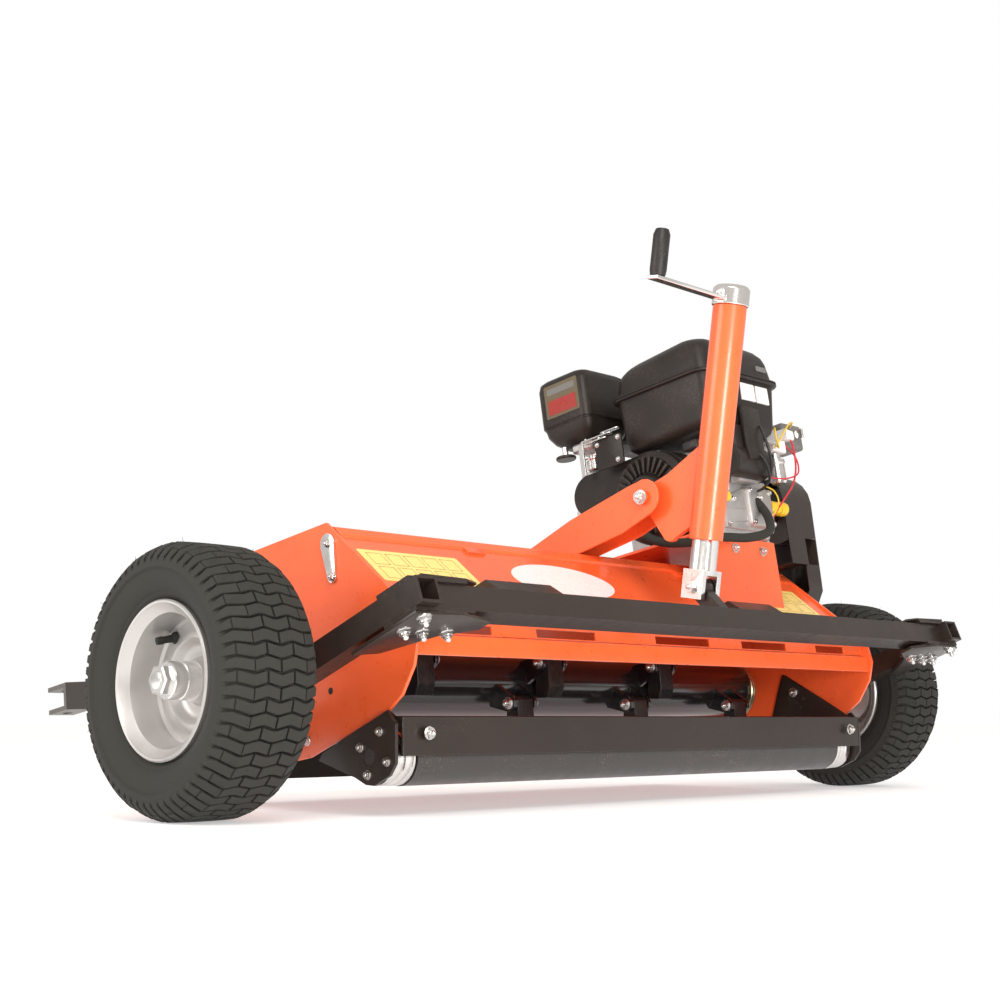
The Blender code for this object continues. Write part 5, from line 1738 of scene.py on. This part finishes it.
def machine_wires() -> list[Wire]:
    """The conduit and the leads, with their routes given in the machine's frame.

    Returns:
        The cords.
    """
    conduit = [(0.181, -0.004, 0.331), (0.184, -0.060, 0.285), (0.188, -0.130, 0.264),
               (0.215, -0.190, 0.262), (0.290, -0.205, 0.264), (0.370, -0.200, 0.285),
               (0.404, -0.180, 0.325), (0.404, -0.158, 0.363)]
    red = [(0.548, -0.152, 0.520), (0.552, -0.168, 0.512), (0.548, -0.176, 0.480), (0.540, -0.178, 0.440),
           (0.520, -0.178, 0.405), (0.492, -0.176, 0.378), (0.470, -0.166, 0.352), (0.456, -0.156, 0.330)]
    second_red = [(0.538, -0.160, 0.500), (0.556, -0.172, 0.470), (0.552, -0.176, 0.436),
                  (0.520, -0.176, 0.420), (0.478, -0.172, 0.414), (0.448, -0.164, 0.418)]
    yellow = [(0.585, -0.151, 0.545), (0.572, -0.168, 0.550), (0.545, -0.176, 0.540),
              (0.520, -0.178, 0.520), (0.505, -0.172, 0.500), (0.494, -0.164, 0.484)]
    earth = [(0.478, -0.180, 0.520), (0.462, -0.194, 0.514), (0.454, -0.198, 0.496),
             (0.464, -0.194, 0.480), (0.480, -0.184, 0.478), (0.496, -0.170, 0.488)]
    sensor = [(0.440, -0.158, 0.398), (0.452, -0.172, 0.386), (0.456, -0.178, 0.364),
              (0.446, -0.176, 0.342), (0.430, -0.170, 0.330), (0.412, -0.158, 0.338)]
    starter = [(0.358, -0.214, 0.440), (0.364, -0.222, 0.424), (0.384, -0.214, 0.402),
               (0.404, -0.196, 0.392), (0.416, -0.176, 0.400), (0.424, -0.160, 0.404)]
    coil = [(0.372, -0.218, 0.500), (0.372, -0.226, 0.470), (0.386, -0.222, 0.430),
            (0.398, -0.206, 0.400), (0.404, -0.184, 0.384), (0.410, -0.162, 0.382)]
    return [Wire("conduit_hose", conduit, 0.018, Finish.RUBBER, "medium", 5, ("conduit",)),
            Wire("red_lead", red, 0.0040, Finish.RED_WIRE, steps=4),
            Wire("second_red_lead", second_red, 0.0034, Finish.RED_WIRE),
            Wire("yellow_lead", yellow, 0.0036, Finish.YELLOW_WIRE),
            Wire("earth_lead", earth, 0.0036, Finish.YELLOW_WIRE),
            Wire("sensor_lead", sensor, 0.0030, Finish.YELLOW_WIRE),
            Wire("starter_lead", starter, 0.0060, Finish.BLACK_WIRE),
            Wire("coil_lead", coil, 0.0055, Finish.BLACK_WIRE)]


@dataclass
class Wiring:
    """The conduit and the coloured leads between the starter, coil and key box."""

    wires: list[Wire] = field(default_factory=machine_wires)

    def build(self) -> None:
        """Lay every cord."""
        for wire in self.wires:
            wire.build()

    def plugs(self) -> None:
        """Fit the plugs where the leads meet the engine."""
        cap = turned(((0.5480, 0.0), (0.5480, 0.0150), (0.5620, 0.0160), (0.5700, 0.0150), (0.5720, 0.0)),
                     Axis.X, (-0.112, 0.372), 12)
        Bench.piece("filler_cap_grip", cap, Finish.YELLOW, "deck", None, 40.0)
        clip = loft([(0.530, 0.0, 0.003), (0.560, 0.002, 0.003)], (-0.176, -0.150, 0.506, 0.530), Axis.X)
        Bench.piece("lead_block", clip, Finish.WHITE_PLATE, "deck", None, 40.0)


# ---- hitch ------------------------------------------------------------------------------------

@dataclass
class Hitch:
    """The drawbar, its coupling and the parking stand."""

    bar_x: float = -0.380

    def build(self, repeats: Repeats) -> None:
        """Build and dress the hitch.

        Args:
            repeats: The shared trees.
        """
        Bench.refine("drawbar", Finish.BLACK, 0.0018, slot="black_paint")
        Bench.refine("hitch_coupling", Finish.IRON, 0.0018, slot="forged_steel")
        Bench.refine("parking_stand", Finish.BLACK, 0.0015, slot="black_paint")
        flange = [((self.bar_x + x, 0.4066, z), (0, 1, 0)) for x in (-0.046, 0.046) for z in (0.030, 0.106)]
        repeats.bolts("flange_bolts", "deck", flange, 0.0082, 0.3)


# ---- studio -----------------------------------------------------------------------------------

@dataclass
class Studio:
    """Camera, soft lights and a pale sweep of floor."""

    eye: tuple[float, float, float] = (-2.2042, -1.9385, 0.1482)
    yaw: float = 0.79251
    pitch: float = 0.13858
    lens: float = 56.376
    white: tuple[float, float, float, float] = (1.0, 1.0, 1.0, 1.0)
    sky: tuple[float, float, float, float] = (1.0, 0.955, 0.91, 1.0)
    sky_strength: float = 0.68
    floor_glow: float = 0.42
    floor_reach: float = 30.0

    def camera(self) -> None:
        """Set the camera at the machine's rear left, close to the floor."""
        axle = joint_at("wheel_spin_left")
        data = bpy.data.cameras.new("camera")
        data.lens = self.lens
        data.sensor_width = 36.0
        camera = bpy.data.objects.new("camera", data)
        camera.location = (self.eye[0], self.eye[1] + axle.y, self.eye[2])
        camera.rotation_euler = (math.pi / 2 + self.pitch, 0.0, -self.yaw)
        bpy.context.scene.collection.objects.link(camera)
        bpy.context.scene.camera = camera

    def lamp(self, name: str, at: Point, aim: Point, size: float, power: float,
             tint: Point = (1, 1, 1)) -> None:
        """Hang one soft box.

        Args:
            name: Name of the lamp.
            at: Where it hangs.
            aim: What it points at.
            size: Edge of the box.
            power: Strength in watts.
            tint: Colour of its light.
        """
        data = bpy.data.lights.new(name, "AREA")
        data.shape = "SQUARE"
        data.size = size
        data.energy = power
        data.color = tint
        lamp = bpy.data.objects.new(name, data)
        lamp.location = at
        lamp.rotation_euler = (Vector(aim) - Vector(at)).to_track_quat("-Z", "Y").to_euler()
        bpy.context.scene.collection.objects.link(lamp)

    def sweep(self) -> None:
        """Lay the pale floor, which glows faintly so that it meets the backdrop without a line."""
        sheet = Sheet("studio_floor")
        grain = sheet.ramp(sheet.noise(3.0, 3.0), 0.3, 0.7)
        sheet.set(Base_Color=sheet.mix(grain, (0.88, 0.88, 0.88), (0.91, 0.91, 0.91)), Roughness=0.80,
                  Emission_Color=self.white, Emission_Strength=self.floor_glow)
        mesh = bpy.data.meshes.new("studio_floor")
        far = self.floor_reach
        corners = [(-far, -far, 0), (far, -far, 0), (far, far, 0), (-far, far, 0)]
        mesh.from_pydata(corners, [], [(0, 1, 2, 3)])
        mesh.materials.append(sheet.material)
        floor = bpy.data.objects.new("studio_floor", mesh)
        bpy.context.scene.collection.objects.link(floor)

    def light(self) -> None:
        """Set a warm world that the camera sees as plain white, and the soft boxes."""
        world = bpy.data.worlds.new("studio")
        world.use_nodes = True
        tree = world.node_tree
        back = tree.nodes["Background"]
        back.inputs["Color"].default_value = self.sky
        back.inputs["Strength"].default_value = self.sky_strength
        seen = tree.nodes.new("ShaderNodeBackground")
        seen.inputs["Color"].default_value = self.white
        path = tree.nodes.new("ShaderNodeLightPath")
        both = tree.nodes.new("ShaderNodeMixShader")
        tree.links.new(path.outputs["Is Camera Ray"], both.inputs[0])
        tree.links.new(back.outputs[0], both.inputs[1])
        tree.links.new(seen.outputs[0], both.inputs[2])
        tree.links.new(both.outputs[0], tree.nodes["World Output"].inputs["Surface"])
        bpy.context.scene.world = world
        self.lamp("key", (-2.6, -3.2, 3.2), (0.0, -0.4, 0.4), 2.4, 120.0, (1.0, 0.95, 0.90))
        self.lamp("fill", (-3.5, 0.6, 1.6), (0.0, -0.4, 0.3), 2.0, 50.0, (1.0, 0.97, 0.94))
        self.lamp("low_rear", (-1.2, -3.4, 0.35), (0.0, -0.3, 0.20), 0.9, 55.0, (1.0, 0.96, 0.92))

    def build(self) -> None:
        """Set up the studio."""
        self.sweep()
        self.light()


def main() -> None:
    """Build the mower's looks, sub-assembly by sub-assembly."""
    logging.basicConfig(level=logging.INFO, format="%(message)s")
    bpy.context.scene.view_settings.view_transform = "Standard"
    studio = Studio()
    studio.camera()
    wiring = Wiring()
    wiring.build()
    repeats = Repeats()
    for side in SIDES.values():
        Wheel(side).build(repeats)
    for assembly in (Deck(), Rotor(), WheelFrame(), Jack(), Engine(), Hitch()):
        assembly.build(repeats)
    wiring.plugs()
    studio.build()


if __name__ == "__main__":
    main()
